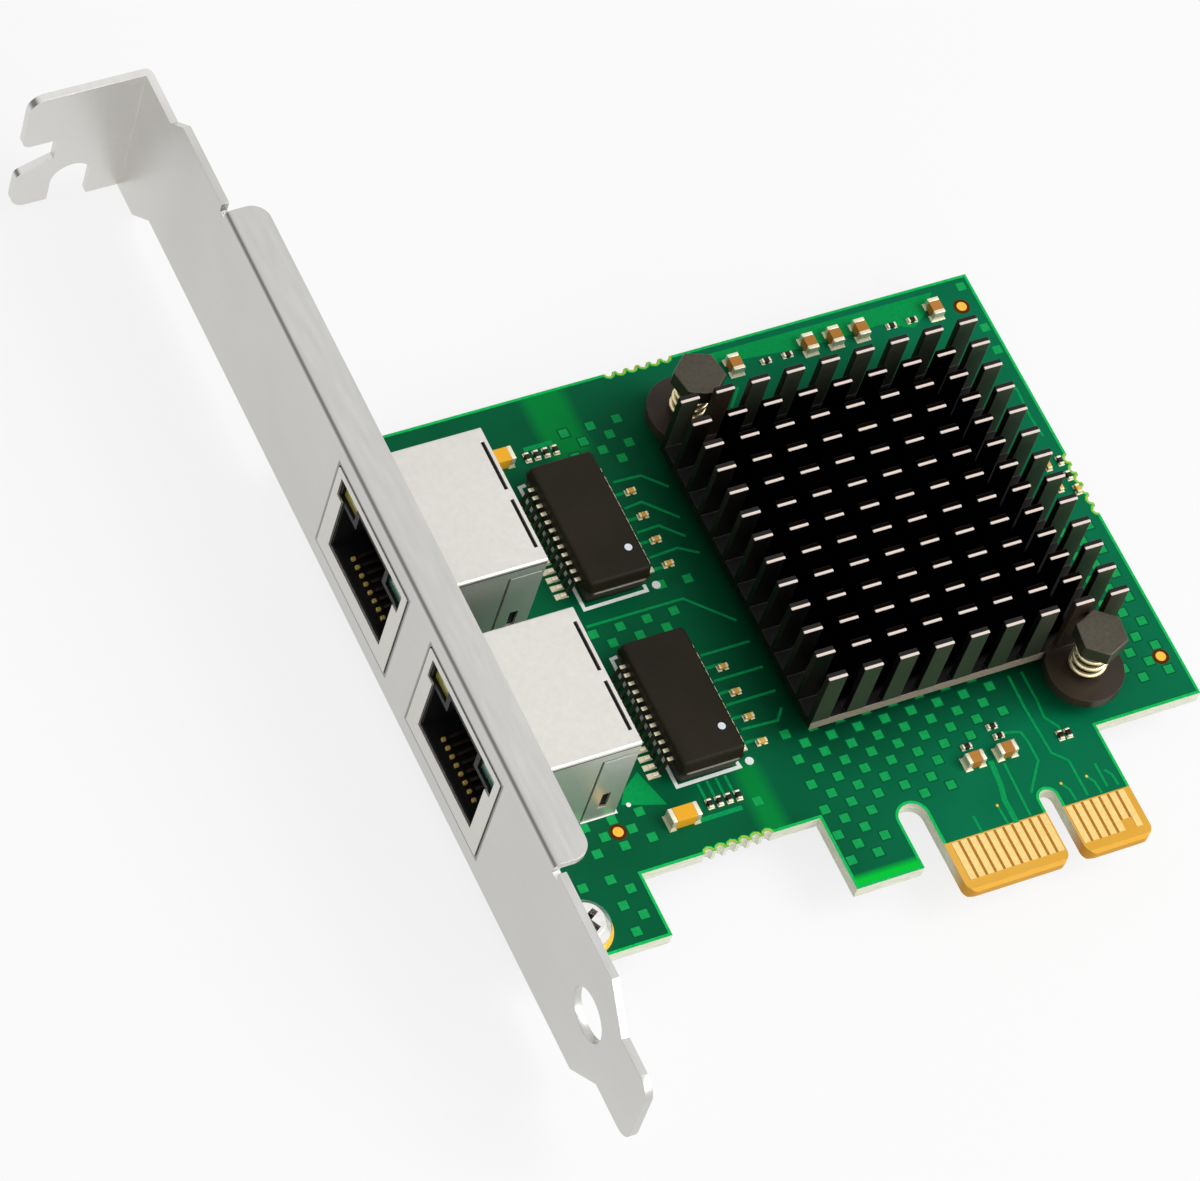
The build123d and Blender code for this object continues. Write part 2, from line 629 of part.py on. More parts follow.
# Transformers: moulded body with drafted sides, and two rows of gull-wing leads
def transformer_body(y):
    with BuildPart() as body:
        with BuildSketch(Plane.XY.offset(BOARD_TOP + TRANSFORMER_STANDOFF)):
            with Locations((TRANSFORMER_X, y)):
                Rectangle(TRANSFORMER_WIDTH, TRANSFORMER_LENGTH)
        extrude(amount=TRANSFORMER_HEIGHT, taper=TRANSFORMER_DRAFT)
        with BuildSketch(Plane.XY.offset(BOARD_TOP + TRANSFORMER_STANDOFF + TRANSFORMER_HEIGHT)):
            with Locations((TRANSFORMER_X + PIN_ONE_X, y - PIN_ONE_Y)):
                Circle(PIN_ONE_D / 2)
        extrude(amount=-PIN_ONE_DEPTH, mode=Mode.SUBTRACT)
    return body.part


def transformer_leads(y):
    drop = LEAD_EXIT - LEAD_T / 2 - TRANSFORMER_STANDOFF
    root = TRANSFORMER_WIDTH / 2 - drop * math.tan(math.radians(TRANSFORMER_DRAFT))
    with BuildPart() as leads:
        for i in range(LEAD_COUNT):
            lead_y = y + (i - (LEAD_COUNT - 1) / 2) * LEAD_PITCH
            middle = Plane((TRANSFORMER_X, lead_y, BOARD_TOP), x_dir=(1, 0, 0), z_dir=(0, -1, 0))
            with BuildSketch(middle):
                with BuildLine():
                    Polyline(
                        (root, LEAD_EXIT),
                        (LEAD_KNEE, LEAD_EXIT),
                        (LEAD_FOOT, LEAD_T / 2),
                        (LEAD_REACH, LEAD_T / 2),
                    )
                trace(line_width=LEAD_T)
                mirror(about=Plane.YZ)
            extrude(amount=LEAD_WIDTH / 2, both=True)
    return leads.part


for name, y in PORT_YS.items():
    save(transformer_body(y), f"transformer_body_{name}")
    save(transformer_leads(y), f"transformer_leads_{name}")


# Controller chip, thermal pad and pin-fin heat sink
with BuildPart() as chip:
    with BuildSketch(Plane.XY.offset(BOARD_TOP)):
        with Locations((SINK_X, SINK_Y)):
            Rectangle(CHIP_SIZE, CHIP_SIZE)
    extrude(amount=CHIP_H)
save(chip.part, "controller_chip")

with BuildPart() as thermal_pad:
    with BuildSketch(Plane.XY.offset(BOARD_TOP + CHIP_H)):
        with Locations((SINK_X, SINK_Y)):
            Rectangle(THERMAL_PAD_SIZE, THERMAL_PAD_SIZE)
    extrude(amount=THERMAL_PAD_T)
save(thermal_pad.part, "thermal_pad")

with BuildPart() as heat_sink:
    with BuildSketch(Plane.XY.offset(SINK_BASE_Z)):
        with Locations((SINK_X, SINK_Y)):
            Rectangle(
                (FIN_COLUMNS - 1) * FIN_PITCH_X + FIN_WIDTH, (FIN_ROWS - 1) * FIN_PITCH_Y + FIN_T
            )
        with Locations(*bolt_centres()):
            Circle(EAR_R)
            Circle(EAR_HOLE_D / 2, mode=Mode.SUBTRACT)
    extrude(amount=SINK_BASE_T)
    with BuildSketch(Plane.XY.offset(SINK_BASE_Z + SINK_BASE_T)):
        with Locations((SINK_X, SINK_Y)):
            with GridLocations(FIN_PITCH_X, FIN_PITCH_Y, FIN_COLUMNS, FIN_ROWS):
                Rectangle(FIN_WIDTH, FIN_T)
    extrude(amount=FIN_HEIGHT)
save(heat_sink.part, "heat_sink")

# Spring-loaded bolts: hexagon head, shank through the ear and the board, spring and nut
spring_seat_z = SINK_BASE_Z + SINK_BASE_T
head_z = spring_seat_z + SPRING_LENGTH
nut_z = BOARD_BOTTOM - NUT_H

for (name, (_, angle)), centre in zip(BOLTS.items(), bolt_centres()):
    with BuildPart() as bolt:
        with BuildSketch(Plane.XY.offset(head_z)):
            with Locations(centre):
                RegularPolygon(BOLT_HEAD_R, 6, rotation=angle)
        extrude(amount=BOLT_HEAD_H)
        with BuildSketch(Plane.XY.offset(nut_z - BOLT_TIP)):
            with Locations(centre):
                Circle(BOLT_D / 2)
        extrude(amount=head_z - nut_z + BOLT_TIP)
    save(bolt.part, f"heat_sink_bolt_{name}")

    wire_start = (centre[0], centre[1], spring_seat_z + SPRING_WIRE_D / 2)
    wire_rise = SPRING_LENGTH - SPRING_WIRE_D
    with BuildPart() as spring:
        with BuildLine(Plane(wire_start)) as coil:
            Helix(wire_rise / SPRING_TURNS, wire_rise, SPRING_R)
        with BuildSketch(Plane(coil.line @ 0, z_dir=coil.line % 0)):
            RegularPolygon(SPRING_WIRE_D / 2, 6)
        sweep(is_frenet=True)
    save(spring.part, f"heat_sink_spring_{name}")

    with BuildPart() as nut:
        with BuildSketch(Plane.XY.offset(nut_z)):
            with Locations(centre):
                RegularPolygon(NUT_R, 6, rotation=angle)
                Circle(NUT_BORE_D / 2, mode=Mode.SUBTRACT)
        extrude(amount=NUT_H)
    save(nut.part, f"heat_sink_nut_{name}")


# Chip components: a body between two metal ends
def chip_row(centre, count, pitch):
    """Centres of a row along X."""
    return [(centre[0] + (i - (count - 1) / 2) * pitch, centre[1]) for i in range(count)]


def chip_group(name, size, along_x, along_y):
    """All chips of one kind: their bodies in one node, and their ends in another."""
    length, width, height, end = size
    body = length - 2 * end
    layouts = ((along_x, 0), (along_y, 90))
    with BuildPart() as bodies:
        with BuildSketch(Plane.XY.offset(BOARD_TOP)):
            for centres, turn in layouts:
                for centre in centres:
                    with Locations(Location(centre, turn)):
                        Rectangle(body, width)
        extrude(amount=height)
    with BuildPart() as ends:
        with BuildSketch(Plane.XY.offset(BOARD_TOP)):
            for centres, turn in layouts:
                for centre in centres:
                    with Locations(Location(centre, turn)):
                        with GridLocations(body + end, 1, 2, 1):
                            Rectangle(end, width)
        extrude(amount=height)
    save(bodies.part, f"{name}_bodies")
    save(ends.part, f"{name}_ends")


small_columns = [
    (SMALL_COLUMN_X, y - SMALL_COLUMN_DROP + (i - (SMALL_COLUMN_COUNT - 1) / 2) * SMALL_COLUMN_PITCH)
    for y in PORT_YS.values()
    for i in range(SMALL_COLUMN_COUNT)
]
resistor_banks = [
    centre
    for bank in RESISTOR_BANKS
    for centre in chip_row(bank, RESISTOR_BANK_COUNT, RESISTOR_BANK_PITCH)
]
chip_group("ceramic_capacitor", CERAMIC_SIZE, CERAMIC_EDGE_ROW, CERAMIC_TOP_ROW)
chip_group("small_capacitor", SMALL_SIZE, small_columns, SMALL_SIDE_GROUP)
chip_group(
    "resistor",
    RESISTOR_SIZE,
    RESISTOR_TOP_ROW + RESISTOR_EDGE_ROW,
    [*RESISTOR_EDGE_PAIR, *RESISTOR_SIDE_PAIR, *resistor_banks],
)
chip_group("moulded_capacitor", MOULDED_SIZE, MOULDED_CENTRES, ())
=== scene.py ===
"""Dressing of the network interface card: finishes, fine board detail, floor, light and camera."""
import math

import bmesh
import bpy
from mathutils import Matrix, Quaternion, Vector
from mathutils.bvhtree import BVHTree


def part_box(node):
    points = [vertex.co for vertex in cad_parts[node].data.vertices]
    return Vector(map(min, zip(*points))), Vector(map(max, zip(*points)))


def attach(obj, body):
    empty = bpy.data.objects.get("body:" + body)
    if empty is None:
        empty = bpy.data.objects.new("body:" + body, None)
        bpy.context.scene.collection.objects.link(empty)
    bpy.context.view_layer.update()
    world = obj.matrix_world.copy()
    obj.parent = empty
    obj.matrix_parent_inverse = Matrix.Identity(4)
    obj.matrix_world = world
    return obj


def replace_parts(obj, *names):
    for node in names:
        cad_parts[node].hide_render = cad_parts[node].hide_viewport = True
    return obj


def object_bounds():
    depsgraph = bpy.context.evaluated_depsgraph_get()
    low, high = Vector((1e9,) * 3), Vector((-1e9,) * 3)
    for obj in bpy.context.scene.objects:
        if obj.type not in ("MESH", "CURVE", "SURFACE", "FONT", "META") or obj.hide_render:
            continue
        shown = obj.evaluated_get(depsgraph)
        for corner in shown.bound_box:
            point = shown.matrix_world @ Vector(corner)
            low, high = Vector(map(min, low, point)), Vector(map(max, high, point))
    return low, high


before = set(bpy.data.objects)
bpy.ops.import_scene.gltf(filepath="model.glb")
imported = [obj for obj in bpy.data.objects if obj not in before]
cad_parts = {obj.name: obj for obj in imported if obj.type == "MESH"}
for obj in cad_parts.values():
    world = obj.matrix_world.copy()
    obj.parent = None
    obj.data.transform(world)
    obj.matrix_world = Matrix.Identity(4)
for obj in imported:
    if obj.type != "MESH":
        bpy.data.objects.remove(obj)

MM = 0.001
cad_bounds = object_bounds()
scene = bpy.context.scene

# Camera, in millimetres of the model's frame
CAMERA_FROM = (-276.68, -222.01, 520.90)
CAMERA_AT = (-32.58, 43.46, 0.0)
CAMERA_ROLL = 20.80
CAMERA_LENS = 191.82
CAMERA_SENSOR = 36.0

# World, floor and lamps. A lamp has its place and size in metres, and its power in watts.
WORLD_LEVEL = 0.42
FLOOR_COLOUR = (0.82, 0.82, 0.82)
FLOOR_GLOW = 0.82
FLOOR_HALF = 1.6
KEY = ((0.5, -0.25, 0.65), (0.55, 0.55), 5.0)
FRONT_FILL = ((0.05, -0.6, 0.4), (0.7, 0.3), 1.4)

# Board print, in millimetres: how far its roots sink into the board, and how far each layer rises over it
PRINT_ROOT = 0.02
UNDER_RISE = 0.01
POUR_RISE = 0.012
RING_RISE = 0.015
COPPER_RISE = 0.02
SILK_RISE = 0.03

# Line widths on the board
SILK_WIDTH = 0.38
TRACE_WIDTH = 0.28
STUB_WIDTH = 0.35
STRIP_WIDTH = 0.5
BROAD_WIDTH = 0.6
LIP_WIDTH = 0.3

# The bare amber tongue, the darker amber of its bevelled end, and where copper begins to back the board
AMBER_TOP_Y = 5.75
AMBER_LEFT_X = -13.2
TONGUE_END_Y = (1.2, 4.2)
BACKED_X = (-24.0, -8.0)

# Loose copper squares: a lattice's origin, and the fields (x from, x to, y from, y to) that hold them
SQUARE_SIDE = 0.95
SQUARE_GAP = 0.14
SQUARE_PITCH = 1.5
SQUARE_EDGE_MARGIN = 0.35
SQUARE_PART_MARGIN = 0.3
SQUARE_FIELDS = (
    ((-46.1, 12.77), ((-50.0, -43.5, 5.8, 13.3), (-46.5, -39.6, 15.3, 19.4))),
    ((-28.5, 61.2), ((-29.0, -22.0, 57.5, 62.0), (-24.2, -23.8, 56.4, 57.0))),
    ((-26.8, 38.6), ((-36.5, -24.5, 36.5, 39.2), (-24.5, -21.5, 35.0, 42.3))),
    ((-20.8, 20.6), ((-22.8, -13.8, 6.6, 22.5), (-13.8, -8.5, 11.2, 22.5), (-8.5, 1.0, 13.8, 22.5))),
    ((19.0, 19.6), ((14.0, 20.9, 15.8, 35.2),)),
)
LONE_SQUARES = (
    (-15.1, 65.3), (-26.7, 41.8), (-28.3, 16.1), (19.7, 65.2), (18.4, 64.2), (19.9, 62.6), (19.8, 59.8),
    (19.8, 56.9),
)

# Tracks under the mask: each is a line of points with its width
SLANT_TRACKS = (
    ((-26.2, 54.3), (-23.1, 54.2), (-20.9, 52.1)),
    ((-26.4, 51.1), (-24.4, 51.3), (-21.4, 48.4)),
    ((-26.4, 48.1), (-23.9, 48.2), (-21.8, 46.2)),
    ((-26.5, 45.0), (-23.2, 45.2), (-21.3, 44.0)),
    ((-26.3, 24.0), (-22.3, 23.8), (-21.3, 25.0)),
    ((-36.1, 39.6), (-25.3, 39.6), (-21.2, 35.6)),
    ((-8.7, 60.9), (-10.5, 58.8)),
    ((18.5, 52.2), (19.5, 51.9), (19.3, 48.3), (19.5, 45.8)),
)
LEVEL_TRACK_YS = (33.0, 29.9, 27.0)
CAPACITOR_STUB_YS = (52.8, 49.7, 46.8, 43.6, 31.5, 28.4, 25.4, 22.5)
BANK_TRACK_XS = (-33.2, -32.2, -31.2, -30.2)
CONTACT_TRACKS = (
    ((-8.3, 7.7), (-8.3, 5.7)),
    ((-5.4, 8.0), (-5.3, 5.7)),
    ((-2.5, 12.1), (-2.7, 5.9)),
    ((2.6, 21.1), (2.5, 17.2), (2.7, 11.7), (4.0, 10.3), (4.0, 6.1)),
    ((4.1, 21.1), (4.1, 17.5), (3.9, 15.6), (4.8, 14.2), (4.8, 13.9)),
    ((2.0, 8.2), (2.5, 7.3), (2.6, 6.0)),
    ((4.9, 8.1), (5.4, 7.3), (5.5, 5.9)),
    ((6.4, 9.2), (6.4, 6.4)),
    ((7.0, 8.2), (7.5, 7.5), (7.6, 6.2)),
    ((-1.5, 15.4), (-0.1, 15.1), (0.8, 14.8), (1.0, 13.5), (1.0, 11.3), (-0.9, 8.9), (-1.4, 8.2)),
)
BROAD_TRACK = ((-3.7, 12.8), (-4.0, 9.9), (-4.4, 8.4), (-4.4, 5.6))
BANK_STRIPS = (((-35.3, 15.95), (-30.1, 15.95)), ((-33.3, 60.6), (-30.1, 60.6)))
TRACES = (
    *[(track, TRACE_WIDTH) for track in (*SLANT_TRACKS, *CONTACT_TRACKS)],
    *[(((-26.5, y), (-21.0, y)), TRACE_WIDTH) for y in LEVEL_TRACK_YS],
    *[(((-26.7, y), (-24.8, y)), STUB_WIDTH) for y in CAPACITOR_STUB_YS],
    *[(((x, 19.8), (x, 17.8)), TRACE_WIDTH) for x in BANK_TRACK_XS],
    *[(strip, STRIP_WIDTH) for strip in BANK_STRIPS],
    (BROAD_TRACK, BROAD_WIDTH),
)
VIAS = ((-5.4, 8.0), (2.0, 8.2), (4.9, 8.1))
VIA_R = 0.15
VIA_SIDES = 16

# Painted shade: dark strips between neighbouring contacts
CONTACT_GAP_LIMIT = 0.95
CONTACT_GAP_INSET = 0.03

# Copper areas under the mask
POURS = (
    ((-13.0, 65.5), (-13.0, 64.6), (-7.0, 63.9), (-0.9, 63.3), (3.5, 63.2), (9.3, 63.4), (12.5, 62.0),
     (14.5, 63.3), (16.3, 65.5)),
    ((-40.5, 21.5), (-41.5, 20.0), (-37.1, 18.6), (-38.4, 22.9)),
)

# Tones of the board's top face, painted light among them: a zone (x from, x to, y from, y to), its border's
# width, strength and colour
PAINTED_SHEEN_GREEN = (0, 132, 58)
BOARD_TONES_AND_PAINTED_LIGHT = (
    # Painted sheen: two brighter green patches that stand in for light glancing off the mask
    ((-31.0, -26.5, 58.5, 67.5), 1.4, 1.0, PAINTED_SHEEN_GREEN),
    ((-29.2, -26.6, 11.0, 20.5), 1.4, 1.0, PAINTED_SHEEN_GREEN),
    ((-24.0, -15.0, 1.6, 5.2), 0.8, 1.0, (0, 200, 56)),
    # Painted shadow: a dark zone round the heat sink's footprint, the shade that the sink casts on the board
    ((-22.2, 13.8, 19.0, 56.8), 8.0, 0.85, (1, 34, 20)),
)

# Silk lines and dots, and the brown ring round each fiducial
SILK_LINES = (
    ((-34.9, 56.7), (-35.6, 56.6), (-35.4, 41.5), (-28.4, 41.6), (-28.4, 42.3)),
    ((-34.6, 35.5), (-35.3, 35.4), (-35.3, 20.1), (-28.3, 20.2), (-28.4, 21.0)),
    ((-46.3, 19.5), (-42.4, 19.5), (-42.4, 20.2)),
)
SILK_DOTS = (((-27.2, 41.9), 0.45), ((-27.1, 20.5), 0.45), ((-40.8, 19.8), 0.25))
FIDUCIAL_RING_R = 0.9
FIDUCIAL_RING_SIDES = 32

# Torn break-off points: a row's middle, its direction and the way into the board, in degrees
BITES = (((-32.2, 12.4), (1, 0), 90), ((-17.7, 66.5), (1, 0), 270), ((20.85, 39.3), (0, 1), 180))
BITE_COUNT = 6
BITE_PITCH = 1.3
BITE_R = 0.45
BITE_RIM = 0.18
BITE_GAP = 0.02
BITE_ARC = 172
BITE_SIDES = 12

# Bracket and screws: where the sheet turns paler as painted light, the line of painted shade round each port
# opening, and the recess's floor, painted dark as shade
PAINTED_LIGHT_SHEET_Y = (94.0, 110.0)
PORT_SHADE_LINE = 0.42
PORT_SHADE_LINE_SOFT = 0.12
RECESS_FLOOR_RISE = (1.1, 1.05)
RECESS_FLOOR_FALL = (0.9, 0.7)

# Port shell's folded seam under its top, and the bright length of each contact wire's tip, behind which the
# wire is painted dark as shade
SEAM_DROPS = (0.535, 0.395)
SEAM_SOFT = 0.015
WIRE_TIP = 0.3
WIRE_FADE = 0.15

# Heat sink: its bare edge's height, where the base's ends are painted pale partly as painted reflection,
# ears, and pins. Zones are x from, x to, y from, y to.
SINK_EDGE = 1.3
SINK_EDGE_FADE = 0.05
EAR_R = 4.2
EAR_FADE = 0.3
PIN_PITCH_Y = 2.82
PIN_HALF_Y = 0.375
PIN_TOP_BAND = (0.12, 0.06)
# Painted light: outside this zone the pins' front faces are painted lighter as if lit; inside it they stay
# black as painted shade
SHADED_PINS = (-23.0, 9.6, 22.4, 54.5)
# Painted shade: pins in this zone are painted near black, with no specular, because no light reaches between
# them
SHADE_PAINTED_PINS = (-18.2, 9.6, 22.4, 54.5)
PIN_ZONE_SOFT = 0.6

# Springs, and the outline of each soldered tail: share of its radius and of its height
SPRING_WIRE = 0.5
SPRING_TURNS = 3.5
SPRING_STEPS = 32
SPRING_SIDES = 12
TAIL_PROFILE = ((1.0, 0.0), (0.9, 0.08), (0.66, 0.3), (0.52, 0.6), (0.46, 0.86), (0.3, 1.0))

# Transformer leads, and the solder under each foot. -1 is the row on the bracket's side.
TRANSFORMER_X = -32.0
LEAD_T = 0.22
LEAD_PAD_INNER = 0.75
LEAD_PAD_OUTER = {-1: 0.45, 1: 0.08}
LEAD_PAD_GROW = 0.1
LEAD_TOE_REACH = 0.05
LEAD_TOE_GROW = 0.03
LEAD_TOE_RISE = 0.18

# Transformer body: height over its parting plane, and how far each side and end stands in from the box
BODY_LEVELS = (
    (-2.4, 0.5, 0.6),
    (-0.12, 0.07, 0.09),
    (-0.05, 0.0, 0.0),
    (0.05, 0.0, 0.0),
    (0.07, 0.07, 0.14),
    (1.08, 0.08, 0.32),
    (1.3, 0.09, 0.4),
    (1.44, 0.2, 0.51),
    (1.5, 0.46, 0.66),
)
BODY_CORNER_R = 0.5
BODY_CORNER_STEPS = 6
# Painted highlight on the ledge at the parting plane: its half height, how far it reaches along the ends,
# and its fade
LEDGE_HALF = (0.05, 0.09)
LEDGE_REACH = 2.7
LEDGE_FADE = 0.3
# Pin-one mark: a flat pale disc that stands in for the light caught in the dimple (painted highlight), in a
# darker rim
PIN_ONE_PLACE = (2.1, -4.4)
PIN_ONE_R = 0.4
PIN_ONE_RIM = 0.1
PIN_ONE_SIDES = 28

# Solder skirts: how far each chip's skirt spreads, and how its levels narrow and rise with the chip
SKIRTS = {
    "ceramic_capacitor_ends": 0.2,
    "small_capacitor_ends": 0.1,
    "resistor_ends": 0.09,
    "moulded_capacitor_ends": 0.14,
}
SOLDER_FOOT = 0.04
SKIRT_WAIST_SHARE = 0.3
SKIRT_WAIST_RISE = 0.12
SKIRT_TOP_GROW = 0.01
SKIRT_TOP_RISE = 0.25

# Rounding and welding of the CAD meshes, and how far off the board's top its face may be found
BEVEL_SEGMENTS = 2
SHARP_ANGLE = 25
FLAT_ANGLE = 0.5
WELD_SPAN = 0.002
ISLAND_SPAN = 0.001
FACE_SLACK = 0.1


# Materials
def linear(colour):
    """Turn a 0-255 display colour into the linear values that shaders take."""
    values = []
    for channel in colour:
        c = channel / 255
        values.append(c / 12.92 if c <= 0.04045 else ((c + 0.055) / 1.055) ** 2.4)
    return (*values, 1.0)


def middle(box):
    """Centre of a box given by its lowest and highest corners."""
    return tuple((low + high) / 2 for low, high in zip(*box))


def box_of(node):
    """Lowest and highest corners of a CAD node, in millimetres."""
    return [tuple(value / MM for value in corner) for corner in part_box(node)]


class Finish:
    """A procedural material: one Principled shader and the nodes that drive it."""

    def __init__(self, name, **sockets):
        self.material = bpy.data.materials.new(name)
        self.material.use_nodes = True
        self.nodes = self.material.node_tree.nodes
        self.links = self.material.node_tree.links
        self.shader = self.nodes["Principled BSDF"]
        self.place = self.nodes.new("ShaderNodeTexCoord").outputs["Object"]
        for label, value in sockets.items():
            self.shader.inputs[label.replace("_", " ")].default_value = value

    def wire(self, node, **inputs):
        """Feed a node's inputs by name or number (i0): sockets are linked, and plain values are set."""
        for label, value in inputs.items():
            socket = node.inputs[int(label[1:]) if label[1:].isdigit() else label]
            if isinstance(value, bpy.types.NodeSocket):
                self.links.new(value, socket)
            else:
                socket.default_value = value
        return node

    def noise(self, scale, detail=2.0, roughness=0.5, stretch=None):
        """Noise with features of 1 / scale metres, stretched where asked."""
        place = self.place
        if stretch:
            mapping = self.nodes.new("ShaderNodeMapping")
            mapping.inputs["Scale"].default_value = stretch
            self.links.new(place, mapping.inputs["Vector"])
            place = mapping.outputs["Vector"]
        node = self.nodes.new("ShaderNodeTexNoise")
        self.wire(node, Vector=place, Scale=scale, Detail=detail, Roughness=roughness)
        return node.outputs["Fac"]

    def clouded(self, fine):
        """Half fine grain and half a broad faint cloud."""
        cloud = self.noise(60, 2.0)
        return self.maths("ADD", self.maths("MULTIPLY", fine, 0.5), self.maths("MULTIPLY", cloud, 0.5))

    def axes(self, source=None):
        """X, Y and Z of a place or a direction."""
        node = self.nodes.new("ShaderNodeSeparateXYZ")
        self.links.new(source or self.place, node.inputs["Vector"])
        return [node.outputs[axis] for axis in "XYZ"]

    def band(self, place, low, high, soft):
        """1 between two places along an axis, falling to 0 across both, all in millimetres."""
        rise = self.level(place, 0.0, 1.0, (low - soft) * MM, (low + soft) * MM)
        fall = self.level(place, 1.0, 0.0, (high - soft) * MM, (high + soft) * MM)
        return self.maths("MULTIPLY", rise, fall)

    def window(self, x, y, zone, softness):
        """1 inside a box across two axes, falling to 0 over a soft border, all in millimetres."""
        left, right, bottom, top = zone
        across = self.band(x, left, right, softness / 2)
        return self.maths("MULTIPLY", across, self.band(y, bottom, top, softness / 2))

    def normal(self):
        return self.nodes.new("ShaderNodeNewGeometry").outputs["Normal"]

    def pointiness(self):
        return self.nodes.new("ShaderNodeNewGeometry").outputs["Pointiness"]

    def maths(self, operation, a, b=0.0, c=0.0):
        node = self.nodes.new("ShaderNodeMath")
        node.operation = operation
        self.wire(node, i0=a, i1=b, i2=c)
        return node.outputs["Value"]

    def ramp(self, factor, *stops):
        """Colour along a factor: stops are (position, display colour)."""
        node = self.nodes.new("ShaderNodeValToRGB")
        while len(node.color_ramp.elements) < len(stops):
            node.color_ramp.elements.new(0.5)
        for element, (position, colour) in zip(node.color_ramp.elements, stops):
            element.position = position
            element.color = linear(colour)
        self.links.new(factor, node.inputs["Fac"])
        return node.outputs["Color"]

    def level(self, factor, low, high, start=0.0, end=1.0):
        """A number that runs from low to high while the factor runs from start to end."""
        node = self.nodes.new("ShaderNodeMapRange")
        self.wire(node, i0=factor, i1=start, i2=end, i3=low, i4=high)
        return node.outputs["Result"]

    def mix(self, factor, a, b):
        """Blend two colours, each a socket or a display colour."""
        node = self.nodes.new("ShaderNodeMix")
        node.data_type = "RGBA"
        self.links.new(factor, node.inputs[0])
        for socket, value in ((node.inputs[6], a), (node.inputs[7], b)):
            if isinstance(value, bpy.types.NodeSocket):
                self.links.new(value, socket)
            else:
                socket.default_value = linear(value)
        return node.outputs[2]

    def colour(self, socket):
        self.links.new(socket, self.shader.inputs["Base Color"])

    def rough(self, socket):
        self.links.new(socket, self.shader.inputs["Roughness"])

    def bump(self, height, distance, strength):
        """Relief in millimetres."""
        node = self.nodes.new("ShaderNodeBump")
        self.wire(node, Strength=strength, Distance=distance * MM, Height=height)
        self.links.new(node.outputs["Normal"], self.shader.inputs["Normal"])


def metal(name, light, dark, roughness, grain, metallic=1.0):
    """Plated or blank metal with fine grain and a faint cloudy tone."""
    finish = Finish(name, Metallic=metallic)
    fine = finish.noise(grain, 3.0, 0.6)
    finish.colour(finish.ramp(finish.clouded(fine), (0.3, dark), (0.7, light)))
    finish.rough(finish.level(fine, roughness - 0.04, roughness + 0.05, 0.3, 0.7))
    finish.bump(fine, 0.004, 0.5)
    return finish.material


def moulding(name, base, worn, roughness, **sockets):
    """Moulded or cast plastic: fine grain, cloudy sheen, and paler worn edges."""
    finish = Finish(name, **sockets)
    fine = finish.noise(4000, 2.0, 0.6)
    cloud = finish.noise(160, 3.0)
    body = finish.ramp(cloud, (0.3, base), (0.75, worn))
    edge = finish.level(finish.pointiness(), 0.0, 0.5, 0.52, 0.62)
    finish.colour(finish.mix(edge, body, worn))
    finish.rough(finish.level(fine, roughness - 0.05, roughness + 0.1, 0.3, 0.7))
    finish.bump(fine, 0.012, 0.5)
    return finish.material


def mask(name, light, dark):
    """Solder mask over copper: a faintly woven, slightly uneven film."""
    finish = Finish(name, Specular_IOR_Level=0.06)
    weave = finish.noise(2600, 2.0, 0.6)
    finish.colour(finish.ramp(weave, (0.25, dark), (0.75, light)))
    finish.rough(finish.level(weave, 0.37, 0.5, 0.3, 0.7))
    finish.bump(weave, 0.004, 0.4)
    return finish.material


def board_finish():
    """Green mask on both faces, bare laminate on the cut edges, amber round the contacts, with painted sheen
    and the heat sink's painted shadow on the top face.
    """
    finish = Finish("board_mask", Specular_IOR_Level=0.06)
    x, y = finish.axes()[:2]
    up = finish.axes(finish.normal())[2]
    flat = finish.maths("ABSOLUTE", up)
    upward = finish.level(up, 0.0, 1.0, 0.4, 0.6)
    weave = finish.noise(2600, 2.0, 0.6)
    cloud = finish.noise(90, 3.0)
    plain = finish.ramp(cloud, (0.3, (0, 86, 52)), (0.7, (2, 97, 60)))
    backed = finish.ramp(cloud, (0.3, (0, 104, 66)), (0.7, (2, 116, 76)))
    face = finish.mix(finish.level(x, 0.0, 1.0, *[edge * MM for edge in BACKED_X]), plain, backed)
    # Top-face tones, among them the painted sheen patches and the heat sink's painted shadow
    for zone, softness, strength, tone in BOARD_TONES_AND_PAINTED_LIGHT:
        share = finish.maths("MULTIPLY", finish.window(x, y, zone, softness), strength)
        face = finish.mix(finish.maths("MULTIPLY", share, upward), face, tone)
    amber = finish.ramp(cloud, (0.3, (226, 166, 58)), (0.7, (238, 184, 80)))
    bare = finish.maths("LESS_THAN", y, AMBER_TOP_Y * MM)
    right_of_hook = finish.maths("GREATER_THAN", x, AMBER_LEFT_X * MM)
    face = finish.mix(finish.maths("MULTIPLY", bare, right_of_hook), face, amber)
    cut = finish.ramp(finish.noise(700, 3.0, 0.6, (1, 1, 6)), (0.3, (212, 214, 192)), (0.7, (238, 240, 224)))
    tongue_end = finish.level(y, 1.0, 0.0, *[edge * MM for edge in TONGUE_END_Y])
    deep_amber = finish.ramp(cloud, (0.3, (204, 146, 46)), (0.7, (218, 164, 66)))
    cut = finish.mix(finish.maths("MULTIPLY", tongue_end, right_of_hook), cut, deep_amber)
    finish.colour(finish.mix(finish.level(flat, 0.0, 1.0, 0.4, 0.6), cut, face))
    finish.rough(finish.level(weave, 0.38, 0.5, 0.3, 0.7))
    finish.bump(weave, 0.004, 0.4)
    return finish.material


